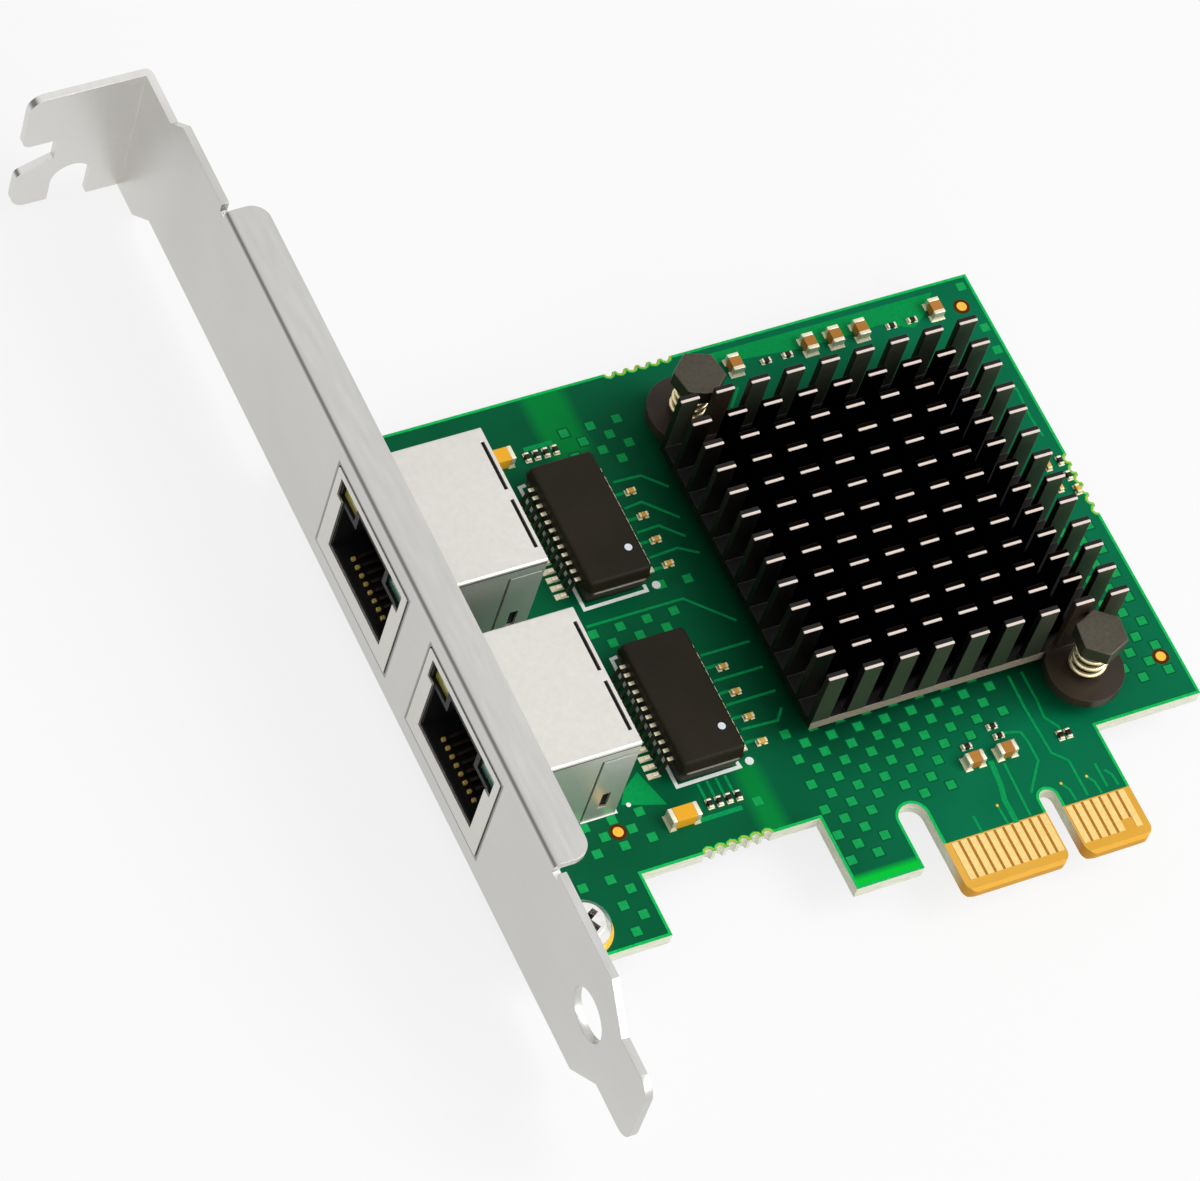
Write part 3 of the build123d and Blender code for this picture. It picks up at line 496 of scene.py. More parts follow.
def sink_finish(low, high):
    """Black anodising with painted light and shade: near black between the pins as painted shade, front
    faces painted lighter as if lit, saw-cut tops of bare metal whose pale front strip is partly a painted
    highlight, with the rest of each top painted dark as shade, and bare metal on the base's ends that is
    partly painted reflection.
    """
    finish = Finish("black_anodised")
    x, y, z = finish.axes()
    fine = finish.noise(3200, 2.0, 0.6)
    cloud = finish.noise(120, 3.0)
    black = finish.ramp(cloud, (0.3, (9, 8, 7)), (0.75, (17, 15, 13)))
    lit_front_paint = finish.ramp(cloud, (0.3, (46, 52, 41)), (0.75, (58, 64, 51)))
    brown = finish.ramp(cloud, (0.3, (42, 34, 27)), (0.75, (60, 49, 39)))
    # Painted light: front (-Y) faces of the pins outside the shaded zone take a lighter colour, as if lit
    facing = finish.axes(finish.normal())[1]
    fronts = finish.level(facing, 1.0, 0.0, -0.9, -0.7)
    lit = finish.maths("SUBTRACT", 1.0, finish.window(x, y, SHADED_PINS, PIN_ZONE_SOFT))
    black = finish.mix(finish.maths("MULTIPLY", fronts, lit), black, lit_front_paint)
    # Painted shade: the inner pins are painted near black and lose their specular
    shade_painted_inner = finish.window(x, y, SHADE_PAINTED_PINS, PIN_ZONE_SOFT)
    black = finish.mix(shade_painted_inner, black, (1, 1, 1))
    finish.links.new(finish.level(shade_painted_inner, 0.22, 0.0), finish.shader.inputs["Specular IOR Level"])
    nearness = []
    for bolt in ("heat_sink_bolt_upper", "heat_sink_bolt_lower"):
        centre = middle(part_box(bolt))
        across_x = finish.maths("POWER", finish.maths("SUBTRACT", x, centre[0]), 2.0)
        across_y = finish.maths("POWER", finish.maths("SUBTRACT", y, centre[1]), 2.0)
        distance = finish.maths("SQRT", finish.maths("ADD", across_x, across_y))
        nearness.append(finish.level(distance, 1.0, 0.0, EAR_R * MM, (EAR_R + EAR_FADE) * MM))
    ears = finish.maths("MAXIMUM", *nearness)
    black = finish.mix(ears, black, brown)
    offset = finish.maths("SUBTRACT", y, (low[1] + high[1]) / 2)
    local = finish.maths("WRAP", offset, PIN_PITCH_Y / 2 * MM, -PIN_PITCH_Y / 2 * MM)
    across = finish.level(local, 0.0, 1.0, -PIN_HALF_Y * MM, PIN_HALF_Y * MM)
    # Pin tops: a pale strip of bare saw-cut metal along each top's front edge, partly a painted highlight
    # where that edge catches the light, with the rest of each top painted dark as shade
    sawn_top_and_highlight = finish.ramp(
        across,
        (0.0, (222, 204, 194)), (0.3, (246, 232, 220)), (0.4, (14, 11, 10)), (0.88, (11, 9, 8)),
        (0.96, (62, 46, 43)),
    )
    on_top = finish.level(z, 0.0, 1.0, *[high[2] - drop * MM for drop in PIN_TOP_BAND])
    # Ends of the base: bare saw-cut metal, painted pale partly as a painted reflection of the floor
    pale_end_and_reflection = finish.ramp(fine, (0.3, (138, 122, 110)), (0.7, (164, 148, 134)))
    edge_top = low[2] + SINK_EDGE * MM
    at_base = finish.level(z, 1.0, 0.0, edge_top, edge_top + SINK_EDGE_FADE * MM)
    at_end = finish.level(finish.maths("ABSOLUTE", facing), 0.0, 1.0, 0.6, 0.8)
    off_ears = finish.maths("SUBTRACT", 1.0, ears)
    edge = finish.maths("MULTIPLY", off_ears, finish.maths("MULTIPLY", at_base, at_end))
    body = finish.mix(edge, black, pale_end_and_reflection)
    finish.colour(finish.mix(on_top, body, sawn_top_and_highlight))
    finish.rough(finish.level(fine, 0.3, 0.42, 0.3, 0.7))
    finish.bump(fine, 0.006, 0.5)
    return finish.material


def lens(name, deep, pale):
    """Tinted lamp window."""
    finish = Finish(name, Roughness=0.2, Transmission_Weight=0.35, Coat_Weight=0.5)
    cloud = finish.noise(500, 2.0)
    finish.colour(finish.ramp(cloud, (0.3, deep), (0.7, pale)))
    finish.bump(cloud, 0.02, 0.3)
    return finish.material


def steel_finish():
    """Blank sheet steel with painted light and shade: painted paler towards the tab, painted darker on faces
    that look up, and painted shade along the flange's fold and round the ports.
    """
    finish = Finish("bracket_sheet", Metallic=1.0)
    fine = finish.noise(1500, 3.0, 0.6, (1, 0.12, 1))
    tone = finish.clouded(fine)
    plate = finish.ramp(tone, (0.3, (200, 199, 196)), (0.7, (211, 210, 207)))
    upper = finish.ramp(tone, (0.3, (191, 190, 187)), (0.7, (201, 200, 198)))
    pale = finish.ramp(tone, (0.3, (222, 220, 216)), (0.7, (230, 228, 224)))
    along, _, up = finish.axes(finish.normal())
    # Painted shade: faces that look up take a darker tone than the outward face
    sheet = finish.mix(finish.level(up, 0.0, 1.0, 0.75, 0.95), plate, upper)
    y, z = finish.axes()[1:]
    # Painted light: the sheet is painted paler towards the tab
    sheet = finish.mix(finish.level(y, 0.0, 1.0, *[edge * MM for edge in PAINTED_LIGHT_SHEET_Y]), sheet, pale)
    # Painted shade: a dark line along the flange's fold, on the steep outward faces of the bend
    steep = finish.level(up, 0.0, 1.0, 0.3, 0.6)
    fold = finish.maths("MULTIPLY", steep, finish.level(up, 1.0, 0.0, 0.75, 0.95))
    outward = finish.level(along, 1.0, 0.0, -0.6, -0.3)
    sheet = finish.mix(finish.maths("MULTIPLY", fold, outward), sheet, (120, 119, 117))
    # Painted shade: a darker line round each port opening
    for port in ("port_shield_a", "port_shield_b"):
        low, high = box_of(port)
        zone = (low[1] - PORT_SHADE_LINE, high[1] + PORT_SHADE_LINE, board_top - PORT_SHADE_LINE, high[2] + PORT_SHADE_LINE)
        sheet = finish.mix(finish.window(y, z, zone, PORT_SHADE_LINE_SOFT), sheet, (146, 144, 141))
    finish.colour(sheet)
    finish.rough(finish.level(fine, 0.32, 0.42, 0.3, 0.7))
    finish.bump(fine, 0.003, 0.5)
    return finish.material


def wire_finish(tip):
    """Contact wires: bright plating at the bent tips, and painted dark as shade behind them."""
    finish = Finish("contact_wire", Metallic=0.1)
    fine = finish.noise(3000, 3.0, 0.6)
    bright = finish.ramp(fine, (0.3, (250, 204, 96)), (0.7, (255, 226, 140)))
    # Painted shade: the wire behind its tip, plated like the tip, is painted near black
    shade_painted_tone = finish.ramp(fine, (0.3, (22, 15, 8)), (0.7, (36, 26, 13)))
    tip_end = tip + WIRE_TIP * MM
    at_tip = finish.level(finish.axes()[0], 1.0, 0.0, tip_end, tip_end + WIRE_FADE * MM)
    finish.colour(finish.mix(at_tip, shade_painted_tone, bright))
    finish.rough(finish.level(fine, 0.3, 0.4, 0.3, 0.7))
    finish.bump(fine, 0.004, 0.5)
    return finish.material


def screw_finish(top):
    """Bright plated screws, with the floor of the cross recess painted dark as shade."""
    finish = Finish("screw_plating", Metallic=0.8)
    fine = finish.noise(900, 2.0, 0.5)
    bright = finish.ramp(fine, (0.3, (228, 227, 224)), (0.7, (242, 241, 238)))
    up = finish.axes(finish.normal())[2]
    z = finish.axes()[2]
    # Painted shade: the recess's floor, where it faces up, is painted near black
    rise = finish.level(z, 0.0, 1.0, *[top - drop * MM for drop in RECESS_FLOOR_RISE])
    fall = finish.level(z, 1.0, 0.0, *[top - drop * MM for drop in RECESS_FLOOR_FALL])
    deep = finish.maths("MULTIPLY", rise, fall)
    floor = finish.maths("MULTIPLY", deep, finish.level(up, 0.0, 1.0, 0.8, 0.95))
    finish.colour(finish.mix(floor, bright, (30, 26, 24)))
    finish.rough(finish.level(fine, 0.16, 0.24, 0.3, 0.7))
    finish.bump(fine, 0.004, 0.4)
    return finish.material


def shell_finish(top):
    """Bright port shell, with a dark folded seam just under the top edge of its two long sides."""
    finish = Finish("port_shell", Metallic=0.7)
    fine = finish.noise(1800, 3.0, 0.6)
    shell = finish.ramp(finish.clouded(fine), (0.3, (215, 212, 205)), (0.7, (226, 223, 217)))
    sideways = finish.level(finish.maths("ABSOLUTE", finish.axes(finish.normal())[1]), 0.0, 1.0, 0.7, 0.9)
    heights = [top / MM - drop for drop in SEAM_DROPS]
    seam = finish.maths("MULTIPLY", sideways, finish.band(finish.axes()[2], *heights, SEAM_SOFT))
    finish.colour(finish.mix(seam, shell, (34, 32, 30)))
    finish.rough(finish.level(fine, 0.3, 0.38, 0.3, 0.7))
    finish.bump(fine, 0.003, 0.5)
    return finish.material


def lead_finish():
    """Tinned leads: cream where they lie flat, and painted dark as shade on their steep runs."""
    finish = Finish("tinned_leads", Metallic=0.4, Specular_IOR_Level=0.4)
    fine = finish.noise(4000, 3.0, 0.6)
    flat = finish.ramp(fine, (0.3, (250, 238, 196)), (0.7, (255, 248, 220)))
    steep = finish.ramp(fine, (0.3, (30, 36, 22)), (0.7, (52, 56, 38)))
    upward = finish.axes(finish.normal())[2]
    # Painted shade by the face's slope: steep runs are dark, flats cream
    finish.colour(finish.mix(finish.level(upward, 0.0, 1.0, 0.62, 0.85), steep, flat))
    finish.rough(finish.level(fine, 0.28, 0.4, 0.3, 0.7))
    finish.bump(fine, 0.004, 0.5)
    return finish.material


def body_finish(parting):
    """Brown-black moulding compound, with a painted highlight on the ledge that runs round its parting
    plane, along the body's ends.
    """
    finish = Finish("transformer_moulding", Specular_IOR_Level=0.1)
    fine = finish.noise(4000, 2.0, 0.6)
    cloud = finish.noise(160, 3.0)
    body = finish.ramp(cloud, (0.3, (29, 25, 17)), (0.75, (38, 34, 24)))
    x, _, z = finish.axes()
    near = finish.maths("ABSOLUTE", finish.maths("SUBTRACT", z, parting))
    ledge = finish.level(near, 1.0, 0.0, *[half * MM for half in LEDGE_HALF])
    offset = finish.maths("ABSOLUTE", finish.maths("SUBTRACT", x, TRANSFORMER_X * MM))
    at_end = finish.level(offset, 1.0, 0.0, LEDGE_REACH * MM, (LEDGE_REACH + LEDGE_FADE) * MM)
    # Painted highlight along the ledge, across the body's ends
    finish.colour(finish.mix(finish.maths("MULTIPLY", ledge, at_end), body, (150, 146, 132)))
    finish.rough(finish.level(fine, 0.4, 0.55, 0.3, 0.7))
    finish.bump(fine, 0.012, 0.5)
    return finish.material


board_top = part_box("circuit_board")[1][2] / MM
parting_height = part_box("transformer_leads_a")[1][2] - LEAD_T / 2 * MM
sink_low, sink_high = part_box("heat_sink")
FINISHES = {
    "board": board_finish(),
    "copper": mask("masked_copper", (26, 172, 90), (12, 154, 78)),
    "copper_gap": mask("masked_gap", (2, 92, 56), (0, 84, 50)),
    "trace": mask("masked_trace", (10, 162, 90), (0, 144, 76)),
    "pour": mask("masked_pour", (4, 158, 82), (0, 142, 70)),
    "lip": mask("masked_lip", (24, 204, 100), (4, 176, 80)),
    "contact_gap": mask("amber_gap_painted_shade", (188, 128, 44), (170, 112, 34)),
    "bite": mask("torn_laminate", (206, 212, 60), (150, 186, 34)),
    "silk": mask("silk_print", (250, 252, 248), (232, 238, 232)),
    "ring": mask("brown_ring", (96, 46, 12), (70, 32, 8)),
    "steel": steel_finish(),
    "screw": screw_finish(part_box("bracket_screws")[1][2]),
    "nut": metal("nut_plating", (206, 204, 198), (172, 169, 162), 0.3, 2500),
    "gold": metal("contact_gold", (248, 220, 148), (238, 202, 122), 0.34, 3000, metallic=0.6),
    "fiducial": metal("bare_copper", (255, 206, 74), (244, 186, 50), 0.34, 3000, metallic=0.4),
    "wire": wire_finish(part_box("port_contacts_a")[0][0]),
    "port": shell_finish(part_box("port_shield_a")[1][2]),
    "nylon": moulding("black_nylon", (14, 14, 15), (26, 26, 27), 0.45, Specular_IOR_Level=0.2),
    "solder": metal("solder_joint", (252, 244, 214), (232, 222, 188), 0.36, 3500, metallic=0.15),
    "epoxy": body_finish(parting_height),
    "pin_one": metal("pin_one_painted_highlight", (228, 234, 242), (206, 214, 224), 0.4, 2500, metallic=0.1),
    "pin_one_rim": moulding("pin_one_rim", (14, 12, 9), (20, 18, 13), 0.5, Specular_IOR_Level=0.1),
    "pad": moulding("thermal_pad", (150, 150, 148), (172, 172, 168), 0.7),
    "anodised": sink_finish(sink_low, sink_high),
    "bolt": metal("dark_bolt", (84, 79, 67), (60, 56, 47), 0.36, 2500, metallic=0.7),
    "spring": metal("spring_wire", (255, 240, 198), (230, 208, 156), 0.24, 3500, metallic=0.7),
    "tin": metal("tinned_ends", (252, 246, 222), (232, 224, 194), 0.34, 4000, metallic=0.45),
    "cream_tin": metal("cream_tin", (255, 238, 190), (246, 222, 164), 0.34, 4000, metallic=0.3),
    "lead": lead_finish(),
    "ceramic": moulding("ceramic_body", (166, 106, 38), (198, 136, 62), 0.4, Specular_IOR_Level=0.2),
    "small_ceramic": moulding(
        "small_ceramic_body", (220, 164, 62), (238, 188, 86), 0.4, Specular_IOR_Level=0.2
    ),
    "resistor": moulding("resistor_film", (20, 16, 14), (40, 32, 26), 0.35, Specular_IOR_Level=0.2),
    "yellow_resin": moulding("yellow_resin", (238, 166, 30), (250, 186, 48), 0.42, Specular_IOR_Level=0.2),
    "yellow_lens": lens("yellow_lens", (168, 162, 52), (196, 188, 84)),
    "green_lens": lens("green_lens", (70, 132, 108), (104, 160, 136)),
}


# Geometry helpers
def add_piece(name, mesh, finish):
    """Link a mesh as a piece that rides with the card."""
    piece = bpy.data.objects.new(name, mesh)
    scene.collection.objects.link(piece)
    mesh.materials.clear()
    mesh.materials.append(FINISHES[finish])
    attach(piece, "root")
    return piece


def smooth(mesh, angle=35):
    for polygon in mesh.polygons:
        polygon.use_smooth = True
    mesh.set_sharp_from_angle(angle=math.radians(angle))


class Shape:
    """Closed forms gathered into one mesh. Places are in millimetres."""

    def __init__(self):
        self.vertices = []
        self.faces = []

    def loft(self, rings):
        """Join rings of equal length in order, and close both ends."""
        first, count = len(self.vertices), len(rings[0])
        for ring in rings:
            self.vertices += [Vector(point) * MM for point in ring]
        last = len(self.vertices) - count
        self.faces.append(tuple(reversed(range(first, first + count))))
        self.faces.append(tuple(range(last, last + count)))
        for start in range(first, last, count):
            for i in range(count):
                j = (i + 1) % count
                self.faces.append((start + i, start + j, start + count + j, start + count + i))

    def stack(self, outlines):
        """Loft through outlines, each given with its height."""
        self.loft([[(x, y, z) for x, y in outline] for outline, z in outlines])

    def layer(self, outline, ground, rise):
        """A thin layer rooted in a flat face and rising over it."""
        self.stack([(outline, ground - PRINT_ROOT), (outline, ground + rise)])

    def piece(self, name, finish, slot, angle=35):
        mesh = bpy.data.meshes.new(name)
        mesh.from_pydata(self.vertices, [], self.faces)
        form = bmesh.new()
        form.from_mesh(mesh)
        bmesh.ops.recalc_face_normals(form, faces=form.faces)
        form.to_mesh(mesh)
        form.free()
        smooth(mesh, angle)
        return add_piece(name, mesh, finish)


def circle(centre, radius, sides=24, start=0.0, sweep=360.0):
    """Points round a circle, or along an arc where the sweep is under a full turn."""
    steps = sides if sweep >= 360 else sides - 1
    angles = [math.radians(start + sweep * i / steps) for i in range(sides)]
    return [(centre[0] + radius * math.cos(a), centre[1] + radius * math.sin(a)) for a in angles]


def rectangle(low, high, grow=0.0):
    """Outline of a box's footprint, grown on every side."""
    left, bottom = low[0] - grow, low[1] - grow
    right, top = high[0] + grow, high[1] + grow
    return [(left, bottom), (right, bottom), (right, top), (left, top)]


def ribbon(points, width):
    """Outline of an even track along a line, with mitred corners."""
    line = [Vector(point) for point in points]
    ways = [(after - before).normalized() for before, after in zip(line, line[1:])]
    left, right = [], []
    for i, point in enumerate(line):
        into, out = ways[max(i - 1, 0)], ways[min(i, len(ways) - 1)]
        side = (into + out).normalized().orthogonal()
        reach = width / 2 / side.dot(into.orthogonal())
        left.append(tuple(point + side * reach))
        right.append(tuple(point - side * reach))
    return left + right[::-1]


def islands(node):
    """Lowest and highest corners, in millimetres, of each separate solid in a CAD node."""
    form = bmesh.new()
    form.from_mesh(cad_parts[node].data)
    bmesh.ops.remove_doubles(form, verts=form.verts, dist=ISLAND_SPAN * MM)
    unseen = set(form.verts)
    boxes = []
    while unseen:
        waiting = [unseen.pop()]
        reached = []
        while waiting:
            vertex = waiting.pop()
            reached.append(vertex.co / MM)
            for edge in vertex.link_edges:
                other = edge.other_vert(vertex)
                if other in unseen:
                    unseen.remove(other)
                    waiting.append(other)
        boxes.append((
            tuple(min(point[i] for point in reached) for i in range(3)),
            tuple(max(point[i] for point in reached) for i in range(3)),
        ))
    form.free()
    return sorted(boxes)


def cad_form(node):
    """A clean, welded copy of a CAD node's mesh, to be edited."""
    form = bmesh.new()
    form.from_mesh(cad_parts[node].data)
    bmesh.ops.remove_doubles(form, verts=form.verts, dist=WELD_SPAN * MM)
    bmesh.ops.dissolve_limit(form, angle_limit=math.radians(FLAT_ANGLE), verts=form.verts, edges=form.edges)
    return form


def softened(node, finish, width):
    """Stand a copy of a CAD node in its place, with edges rounded to a width in millimetres."""
    form = cad_form(node)
    corners = [
        edge for edge in form.edges
        if len(edge.link_faces) == 2 and edge.calc_face_angle() > math.radians(SHARP_ANGLE)
    ]
    bmesh.ops.bevel(
        form, geom=corners, offset=width * MM, offset_type="OFFSET", segments=BEVEL_SEGMENTS,
        profile=0.5, affect="EDGES", clamp_overlap=True
    )
    mesh = bpy.data.meshes.new(f"{node}_form")
    form.to_mesh(mesh)
    form.free()
    smooth(mesh)
    piece = add_piece(f"{node}_form", mesh, finish)
    modifier = piece.modifiers.new("even_shading", "WEIGHTED_NORMAL")
    modifier.keep_sharp = True
    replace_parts(piece, node)


# Nodes that keep their CAD shape
KEPT = {
    "circuit_board": "board",
    "edge_contacts_front": "gold",
    "edge_contacts_back": "gold",
    "mounting_pads": "fiducial",
    "fiducial_marks": "fiducial",
    "port_housing_a": "nylon",
    "port_housing_b": "nylon",
    "port_contacts_a": "wire",
    "port_contacts_b": "wire",
    "port_yellow_lens_a": "yellow_lens",
    "port_yellow_lens_b": "yellow_lens",
    "port_green_lens_a": "green_lens",
    "port_green_lens_b": "green_lens",
    "controller_chip": "epoxy",
    "thermal_pad": "pad",
}
for node, finish in KEPT.items():
    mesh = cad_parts[node].data
    mesh.materials.clear()
    mesh.materials.append(FINISHES[finish])

# Nodes shown with rounded edges: finish, material slot and edge width
SOFTENED = {
    "bracket": ("steel", "bracket_steel", 0.12),
    "bracket_screws": ("screw", "screw_steel", 0.16),
    "port_shield_a": ("port", "port_metal", 0.06),
    "port_shield_b": ("port", "port_metal", 0.06),
    "transformer_leads_a": ("lead", "tinned_ends", 0.05),
    "transformer_leads_b": ("lead", "tinned_ends", 0.05),
    "heat_sink": ("anodised", "black_anodised", 0.08),
    "heat_sink_bolt_upper": ("bolt", "dark_bolt", 0.16),
    "heat_sink_bolt_lower": ("bolt", "dark_bolt", 0.16),
    "heat_sink_nut_upper": ("nut", "dark_bolt", 0.12),
    "heat_sink_nut_lower": ("nut", "dark_bolt", 0.12),
    "ceramic_capacitor_bodies": ("ceramic", "ceramic", 0.06),
    "ceramic_capacitor_ends": ("tin", "tinned_ends", 0.06),
    "small_capacitor_bodies": ("small_ceramic", "ceramic", 0.04),
    "small_capacitor_ends": ("cream_tin", "tinned_ends", 0.04),
    "resistor_bodies": ("resistor", "resistor_film", 0.03),
    "resistor_ends": ("tin", "tinned_ends", 0.03),
    "moulded_capacitor_bodies": ("yellow_resin", "yellow_resin", 0.08),
    "moulded_capacitor_ends": ("tin", "tinned_ends", 0.06),
}
for node, (finish, slot, width) in SOFTENED.items():
    softened(node, finish, width)


# Transformers: two halves that taper away from a fine ledge, with rounded edges and a pin-one dimple drawn
# as a pale disc of painted highlight
def rounded(centre, half_x, half_y, radius):
    """Outline of a rectangle with round corners."""
    outline = []
    for turn, (side_x, side_y) in enumerate(((1, 1), (-1, 1), (-1, -1), (1, -1))):
        corner = (centre[0] + side_x * (half_x - radius), centre[1] + side_y * (half_y - radius))
        outline += circle(corner, radius, BODY_CORNER_STEPS, 90 * turn, 90)
    return outline


def transformer_form(node):
    low, high = box_of(node)
    centre = middle((low, high))
    half_x, half_y = (high[0] - low[0]) / 2, (high[1] - low[1]) / 2
    parting = parting_height / MM
    shape = Shape()
    shape.stack([
        (rounded(centre, half_x - side, half_y - end, BODY_CORNER_R - side / 2), parting + height)
        for height, side, end in BODY_LEVELS
    ])
    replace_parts(shape.piece(f"{node}_form", "epoxy", "black_epoxy", 50), node)
    top = parting + BODY_LEVELS[-1][0]
    dimple = (centre[0] + PIN_ONE_PLACE[0], centre[1] + PIN_ONE_PLACE[1])
    rim = Shape()
    rim.layer(circle(dimple, PIN_ONE_R + PIN_ONE_RIM, PIN_ONE_SIDES), top, UNDER_RISE)
    rim.piece(f"{node}_pin_one_rim", "pin_one_rim", "black_epoxy")
    # Painted highlight: a pale disc stands for the light caught in the pin-one dimple
    disc = Shape()
    disc.layer(circle(dimple, PIN_ONE_R, PIN_ONE_SIDES), top, COPPER_RISE)
    disc.piece(f"{node}_pin_one", "pin_one", "black_epoxy")


for node in ("transformer_body_a", "transformer_body_b"):
    transformer_form(node)


# Springs: round wire wound at the CAD coil's radius, pitch and hand
def spring_form(node):
    low, high = box_of(node)
    centre_x, centre_y = middle((low, high))[:2]
    wire = SPRING_WIRE / 2
    radius = (high[0] - low[0]) / 2 - wire
    bottom, top = low[2] + wire, high[2] - wire
    rings = []
    count = int(SPRING_TURNS * SPRING_STEPS) + 1
    for step in range(count):
        share = step / (count - 1)
        angle = 2 * math.pi * SPRING_TURNS * share
        out = Vector((math.cos(angle), math.sin(angle), 0))
        centre = Vector((centre_x, centre_y, bottom + (top - bottom) * share)) + out * radius
        ring = []
        for i in range(SPRING_SIDES):
            turn = 2 * math.pi * i / SPRING_SIDES
            ring.append(centre + out * wire * math.cos(turn) + Vector((0, 0, wire * math.sin(turn))))
        rings.append(ring)
    shape = Shape()
    shape.loft(rings)
    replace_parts(shape.piece(f"{node}_form", "spring", "spring_wire", 60), node)


for node in ("heat_sink_spring_upper", "heat_sink_spring_lower"):
    spring_form(node)


# Solder joints under the ports: a concave cone round each tail
def tail_cones(node):
    shape = Shape()
    for low, high in islands(node):
        centre = middle((low, high))
        radius = (high[1] - low[1]) / 2
        shape.stack([
            (circle(centre, radius * share), high[2] - drop * (high[2] - low[2]))
            for share, drop in TAIL_PROFILE
        ])
    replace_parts(shape.piece(f"{node}_form", "solder", "solder", 50), node)


for node in ("port_solder_tails_a", "port_solder_tails_b"):
    tail_cones(node)


# Solder on the component side: a skirt round each chip's ends, and a pad under each lead's foot
def solder_skirts():
    """Every skirt, pad and toe of solder on the component side, in one piece."""
    shape = Shape()
    for node, spread in SKIRTS.items():
        for low, high in islands(node):
            height = high[2] - low[2]
            foot = rectangle(low, high, spread)
            waist = rectangle(low, high, spread * SKIRT_WAIST_SHARE)
            shape.stack([
                (foot, board_top - PRINT_ROOT),
                (foot, board_top + SOLDER_FOOT),
                (waist, board_top + SKIRT_WAIST_RISE * height),
                (rectangle(low, high, SKIRT_TOP_GROW), board_top + SKIRT_TOP_RISE * height),
            ])
    for node in ("transformer_leads_a", "transformer_leads_b"):
        for box in islands(node):
            outward = -1 if middle(box)[0] < TRANSFORMER_X else 1
            tip = box[0][0] if outward < 0 else box[1][0]
            inner, outer = tip - outward * LEAD_PAD_INNER, tip + outward * LEAD_PAD_OUTER[outward]
            toe = tip + outward * LEAD_TOE_REACH
            bottom, top = box[0][1], box[1][1]
            pad = rectangle((min(inner, outer), bottom), (max(inner, outer), top), LEAD_PAD_GROW)
            upper = rectangle((min(inner, toe), bottom), (max(inner, toe), top), LEAD_TOE_GROW)
            shape.stack([
                (pad, board_top - PRINT_ROOT),
                (pad, board_top + SOLDER_FOOT),
                (upper, board_top + LEAD_TOE_RISE),
            ])
    shape.piece("solder_joints", "solder", "solder", 50)


solder_skirts()


# Printed board: copper under the mask, silk lines, rims and rings
def over_board(x, y, margin):
    """Whether a square of this half size lies on the board's face."""
    for side_x in (-margin, 0, margin):
        for side_y in (-margin, 0, margin):
            start = Vector(((x + side_x) * MM, (y + side_y) * MM, (board_top + 1) * MM))
            place = board_tree.ray_cast(start, Vector((0, 0, -1)))[0]
            if place is None or place.z / MM < board_top - FACE_SLACK:
                return False
    return True


def clear_of(x, y, boxes, margin):
    """Whether a square of this half size keeps off every box."""
    return not any(
        low[0] - margin < x < high[0] + margin and low[1] - margin < y < high[1] + margin
        for low, high in boxes
    )


def standing_boxes():
    """Footprints of what is soldered or screwed to the component side."""
    boxes = []
    for node in (*SKIRTS, "transformer_leads_a", "transformer_leads_b", "fiducial_marks", "mounting_pads"):
        boxes += islands(node)
    return boxes


def lattice(start, end, origin):
    """Steps of the squares' lattice that lie between two places."""
    return range(math.ceil((start - origin) / SQUARE_PITCH), math.floor((end - origin) / SQUARE_PITCH) + 1)


def copper_squares():
    taken = standing_boxes()
    for track, width in TRACES:
        for start, end in zip(track, track[1:]):
            lows = (min(start[0], end[0]), min(start[1], end[1]))
            highs = (max(start[0], end[0]), max(start[1], end[1]))
            taken.append((lows, highs))
    places = []
    for origin, fields in SQUARE_FIELDS:
        for left, right, bottom, top in fields:
            for i in lattice(left, right, origin[0]):
                for j in lattice(bottom, top, origin[1]):
                    if (i + j) % 2 == 0:
                        places.append((origin[0] + i * SQUARE_PITCH, origin[1] + j * SQUARE_PITCH))
    squares, gaps = Shape(), Shape()
    half = SQUARE_SIDE / 2
    for x, y in (*places, *LONE_SQUARES):
        on_face = over_board(x, y, half + SQUARE_EDGE_MARGIN)
        if on_face and clear_of(x, y, taken, half + SQUARE_PART_MARGIN):
            squares.layer(rectangle((x, y), (x, y), half), board_top, COPPER_RISE)
            if (x, y) not in LONE_SQUARES:
                gaps.layer(rectangle((x, y), (x, y), half + SQUARE_GAP), board_top, UNDER_RISE)
    squares.piece("copper_squares", "copper", "solder_mask")
    gaps.piece("copper_square_gaps", "copper_gap", "solder_mask")


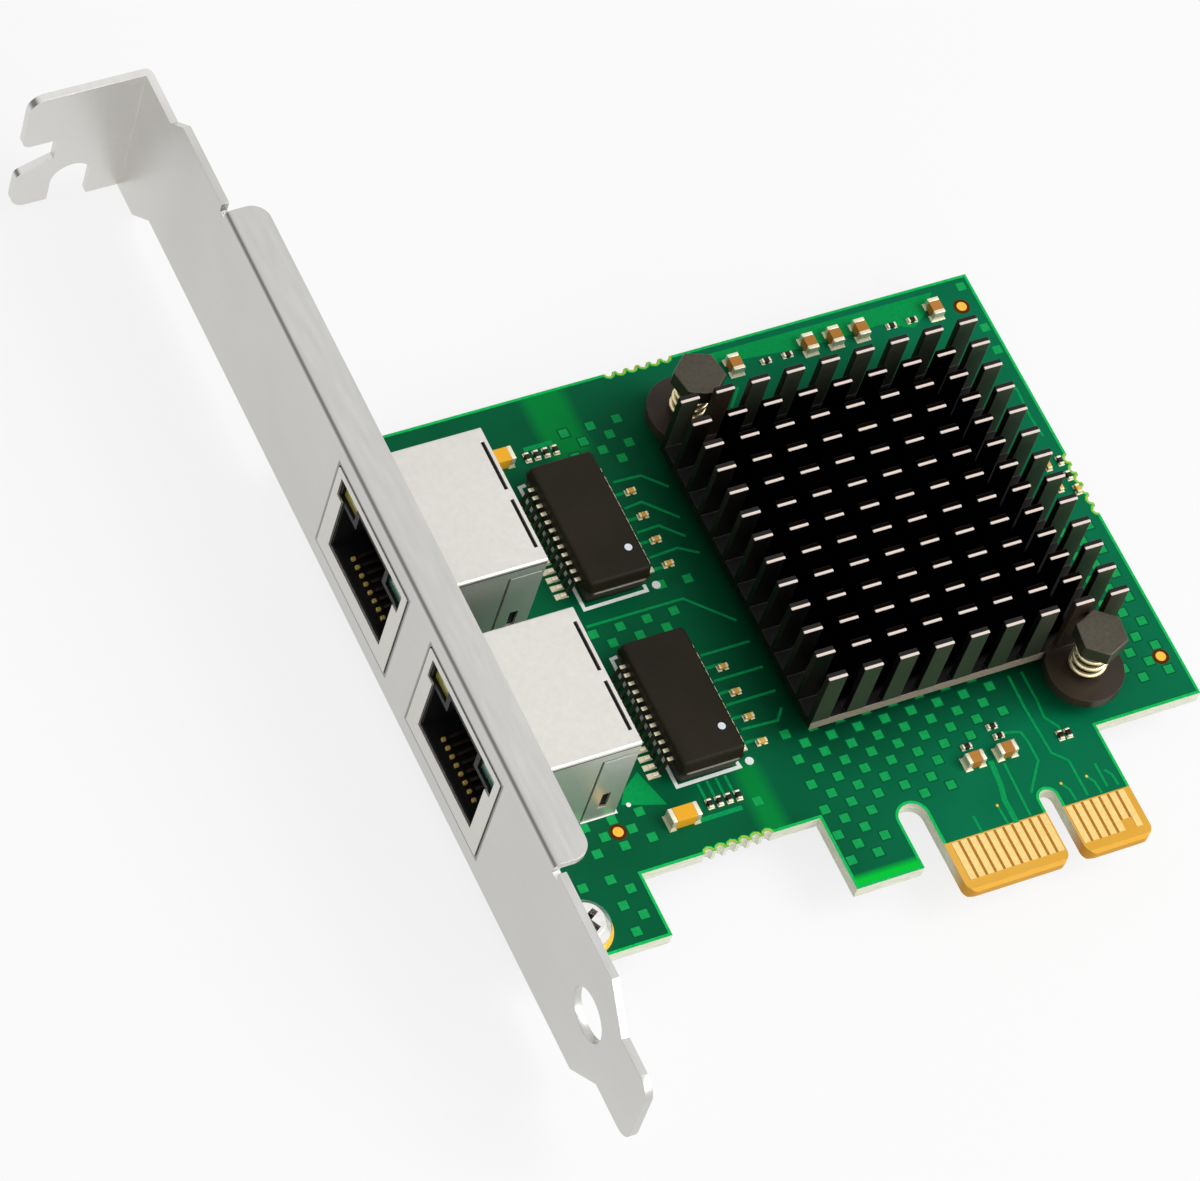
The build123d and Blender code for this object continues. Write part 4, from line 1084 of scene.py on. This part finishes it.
def board_lines():
    """Tracks, bare vias, copper areas, silk, fiducial rings and the strips of painted shade between the
    contacts.
    """
    traces, vias = Shape(), Shape()
    for track, width in TRACES:
        traces.layer(ribbon(track, width), board_top, COPPER_RISE)
    for centre in VIAS:
        vias.layer(circle(centre, VIA_R, VIA_SIDES), board_top, SILK_RISE)
    traces.piece("copper_traces", "trace", "solder_mask")
    vias.piece("bare_vias", "fiducial", "gold_plating")
    pours = Shape()
    for outline in POURS:
        pours.layer(outline, board_top, POUR_RISE)
    pours.piece("copper_pours", "pour", "solder_mask")
    silk = Shape()
    for line in SILK_LINES:
        silk.layer(ribbon(line, SILK_WIDTH), board_top, SILK_RISE)
    for centre, radius in SILK_DOTS:
        silk.layer(circle(centre, radius), board_top, SILK_RISE)
    silk.piece("silk_lines", "silk", "solder_mask")
    rings = Shape()
    for box in islands("fiducial_marks"):
        rings.layer(circle(middle(box), FIDUCIAL_RING_R, FIDUCIAL_RING_SIDES), board_top, RING_RISE)
    rings.piece("fiducial_rings", "ring", "solder_mask")
    # Painted shade: a darker amber strip in each gap between neighbouring contacts
    gaps = Shape()
    contacts = islands("edge_contacts_front")
    for (low, high), (next_low, _) in zip(contacts, contacts[1:]):
        if next_low[0] - high[0] < CONTACT_GAP_LIMIT:
            corner = (high[0] + CONTACT_GAP_INSET, max(low[1], next_low[1]))
            opposite = (next_low[0] - CONTACT_GAP_INSET, high[1])
            gaps.layer(rectangle(corner, opposite), board_top, UNDER_RISE)
    gaps.piece("contact_gaps", "contact_gap", "solder_mask")


def board_rims():
    """A raised lip of mask round the board's outline, and torn laminate round each bite."""
    form = cad_form("circuit_board")
    bmesh.ops.triangulate(form, faces=form.faces)
    top = [
        face for face in form.faces
        if face.normal.z > 0.99 and face.calc_center_median().z / MM > board_top - FACE_SLACK
    ]
    kept = set(bmesh.ops.inset_region(
        form, faces=top, thickness=LIP_WIDTH * MM, use_boundary=True, use_even_offset=True
    )["faces"])
    bmesh.ops.delete(form, geom=[face for face in form.faces if face not in kept], context="FACES")
    for corner, way in (((0, AMBER_TOP_Y * MM, 0), (0, 1, 0)), ((AMBER_LEFT_X * MM, 0, 0), (1, 0, 0))):
        whole = list(form.verts) + list(form.edges) + list(form.faces)
        bmesh.ops.bisect_plane(form, geom=whole, plane_co=corner, plane_no=way)
    centres = {face: face.calc_center_median() / MM for face in form.faces}
    bare = [face for face, place in centres.items() if place.y < AMBER_TOP_Y and place.x > AMBER_LEFT_X]
    bmesh.ops.delete(form, geom=bare, context="FACES")
    for vertex in form.verts:
        vertex.co.z -= PRINT_ROOT * MM
    raised = bmesh.ops.extrude_face_region(form, geom=list(form.faces))["geom"]
    for vertex in [item for item in raised if isinstance(item, bmesh.types.BMVert)]:
        vertex.co.z += (PRINT_ROOT + COPPER_RISE) * MM
    bmesh.ops.recalc_face_normals(form, faces=form.faces)
    mesh = bpy.data.meshes.new("board_lip")
    form.to_mesh(mesh)
    form.free()
    add_piece("board_lip", mesh, "lip")
    bites = Shape()
    for (x, y), (step_x, step_y), inward in BITES:
        for i in range(BITE_COUNT):
            offset = (i - (BITE_COUNT - 1) / 2) * BITE_PITCH
            centre = (x + offset * step_x, y + offset * step_y)
            start = inward - BITE_ARC / 2
            outer = circle(centre, BITE_R + BITE_RIM, BITE_SIDES, start, BITE_ARC)
            inner = circle(centre, BITE_R + BITE_GAP, BITE_SIDES, start, BITE_ARC)
            bites.layer(outer + inner[::-1], board_top, SILK_RISE)
    bites.piece("bite_rims", "bite", "solder_mask")


board_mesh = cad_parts["circuit_board"].data
board_tree = BVHTree.FromPolygons(
    [vertex.co for vertex in board_mesh.vertices], [tuple(face.vertices) for face in board_mesh.polygons]
)
copper_squares()
board_lines()
board_rims()


# Floor, world, lights and camera
def seen_directly(nodes, links):
    """1 where the camera, a reflection or glass sees a surface, and 0 where it only gives light."""
    path = nodes.new("ShaderNodeLightPath")
    share = path.outputs["Is Camera Ray"]
    for ray in ("Is Glossy Ray", "Is Transmission Ray"):
        either = nodes.new("ShaderNodeMath")
        either.operation = "MAXIMUM"
        links.new(share, either.inputs[0])
        links.new(path.outputs[ray], either.inputs[1])
        share = either.outputs["Value"]
    return share


def build_floor(height):
    mesh = bpy.data.meshes.new("floor")
    low, high = (-FLOOR_HALF, -FLOOR_HALF), (FLOOR_HALF, FLOOR_HALF)
    corners = [(x, y, height) for x, y in rectangle(low, high)]
    mesh.from_pydata(corners, [], [(0, 1, 2, 3)])
    floor = bpy.data.objects.new("floor", mesh)
    scene.collection.objects.link(floor)
    material = bpy.data.materials.new("floor_paper")
    material.use_nodes = True
    nodes, links = material.node_tree.nodes, material.node_tree.links
    shader = nodes["Principled BSDF"]
    shader.inputs["Base Color"].default_value = (*FLOOR_COLOUR, 1.0)
    shader.inputs["Roughness"].default_value = 0.9
    shader.inputs["Specular IOR Level"].default_value = 0.1
    glow = nodes.new("ShaderNodeEmission")
    share = nodes.new("ShaderNodeMath")
    share.operation = "MULTIPLY"
    share.inputs[1].default_value = FLOOR_GLOW
    links.new(seen_directly(nodes, links), share.inputs[0])
    blend = nodes.new("ShaderNodeMixShader")
    links.new(share.outputs["Value"], blend.inputs[0])
    links.new(shader.outputs["BSDF"], blend.inputs[1])
    links.new(glow.outputs["Emission"], blend.inputs[2])
    links.new(blend.outputs["Shader"], nodes["Material Output"].inputs["Surface"])
    mesh.materials.append(material)


def build_world():
    world = bpy.data.worlds.new("studio")
    world.use_nodes = True
    nodes, links = world.node_tree.nodes, world.node_tree.links
    light = nodes["Background"]
    light.inputs["Strength"].default_value = WORLD_LEVEL
    light.inputs["Color"].default_value = (1.0, 1.0, 1.0, 1.0)
    seen = nodes.new("ShaderNodeBackground")
    blend = nodes.new("ShaderNodeMixShader")
    links.new(seen_directly(nodes, links), blend.inputs[0])
    links.new(light.outputs["Background"], blend.inputs[1])
    links.new(seen.outputs["Background"], blend.inputs[2])
    seen.inputs["Color"].default_value = (1.0, 1.0, 1.0, 1.0)
    links.new(blend.outputs["Shader"], nodes["World Output"].inputs["Surface"])
    scene.world = world


def area_light(name, target, place, size, power):
    data = bpy.data.lights.new(name, "AREA")
    data.shape = "RECTANGLE"
    data.size, data.size_y = size
    data.energy = power
    lamp = bpy.data.objects.new(name, data)
    lamp.location = place
    direction = Vector(target) - Vector(place)
    lamp.rotation_mode = "QUATERNION"
    lamp.rotation_quaternion = direction.to_track_quat("-Z", "Y")
    scene.collection.objects.link(lamp)


def build_camera():
    data = bpy.data.cameras.new("camera")
    data.lens = CAMERA_LENS
    data.sensor_width = CAMERA_SENSOR
    data.clip_start = 0.01
    camera = bpy.data.objects.new("camera", data)
    place = Vector(CAMERA_FROM) * MM
    forward = Vector(CAMERA_AT) * MM - place
    level = forward.to_track_quat("-Z", "Y")
    roll = Quaternion((0, 0, 1), math.radians(CAMERA_ROLL))
    camera.rotation_mode = "QUATERNION"
    camera.rotation_quaternion = level @ roll
    camera.location = place
    scene.collection.objects.link(camera)
    scene.camera = camera


card_centre = (Vector(cad_bounds[0]) + Vector(cad_bounds[1])) / 2
build_floor(cad_bounds[0][2])
build_world()
area_light("key", card_centre, *KEY)
area_light("front_fill", card_centre, *FRONT_FILL)
build_camera()
scene.view_settings.view_transform = "Standard"
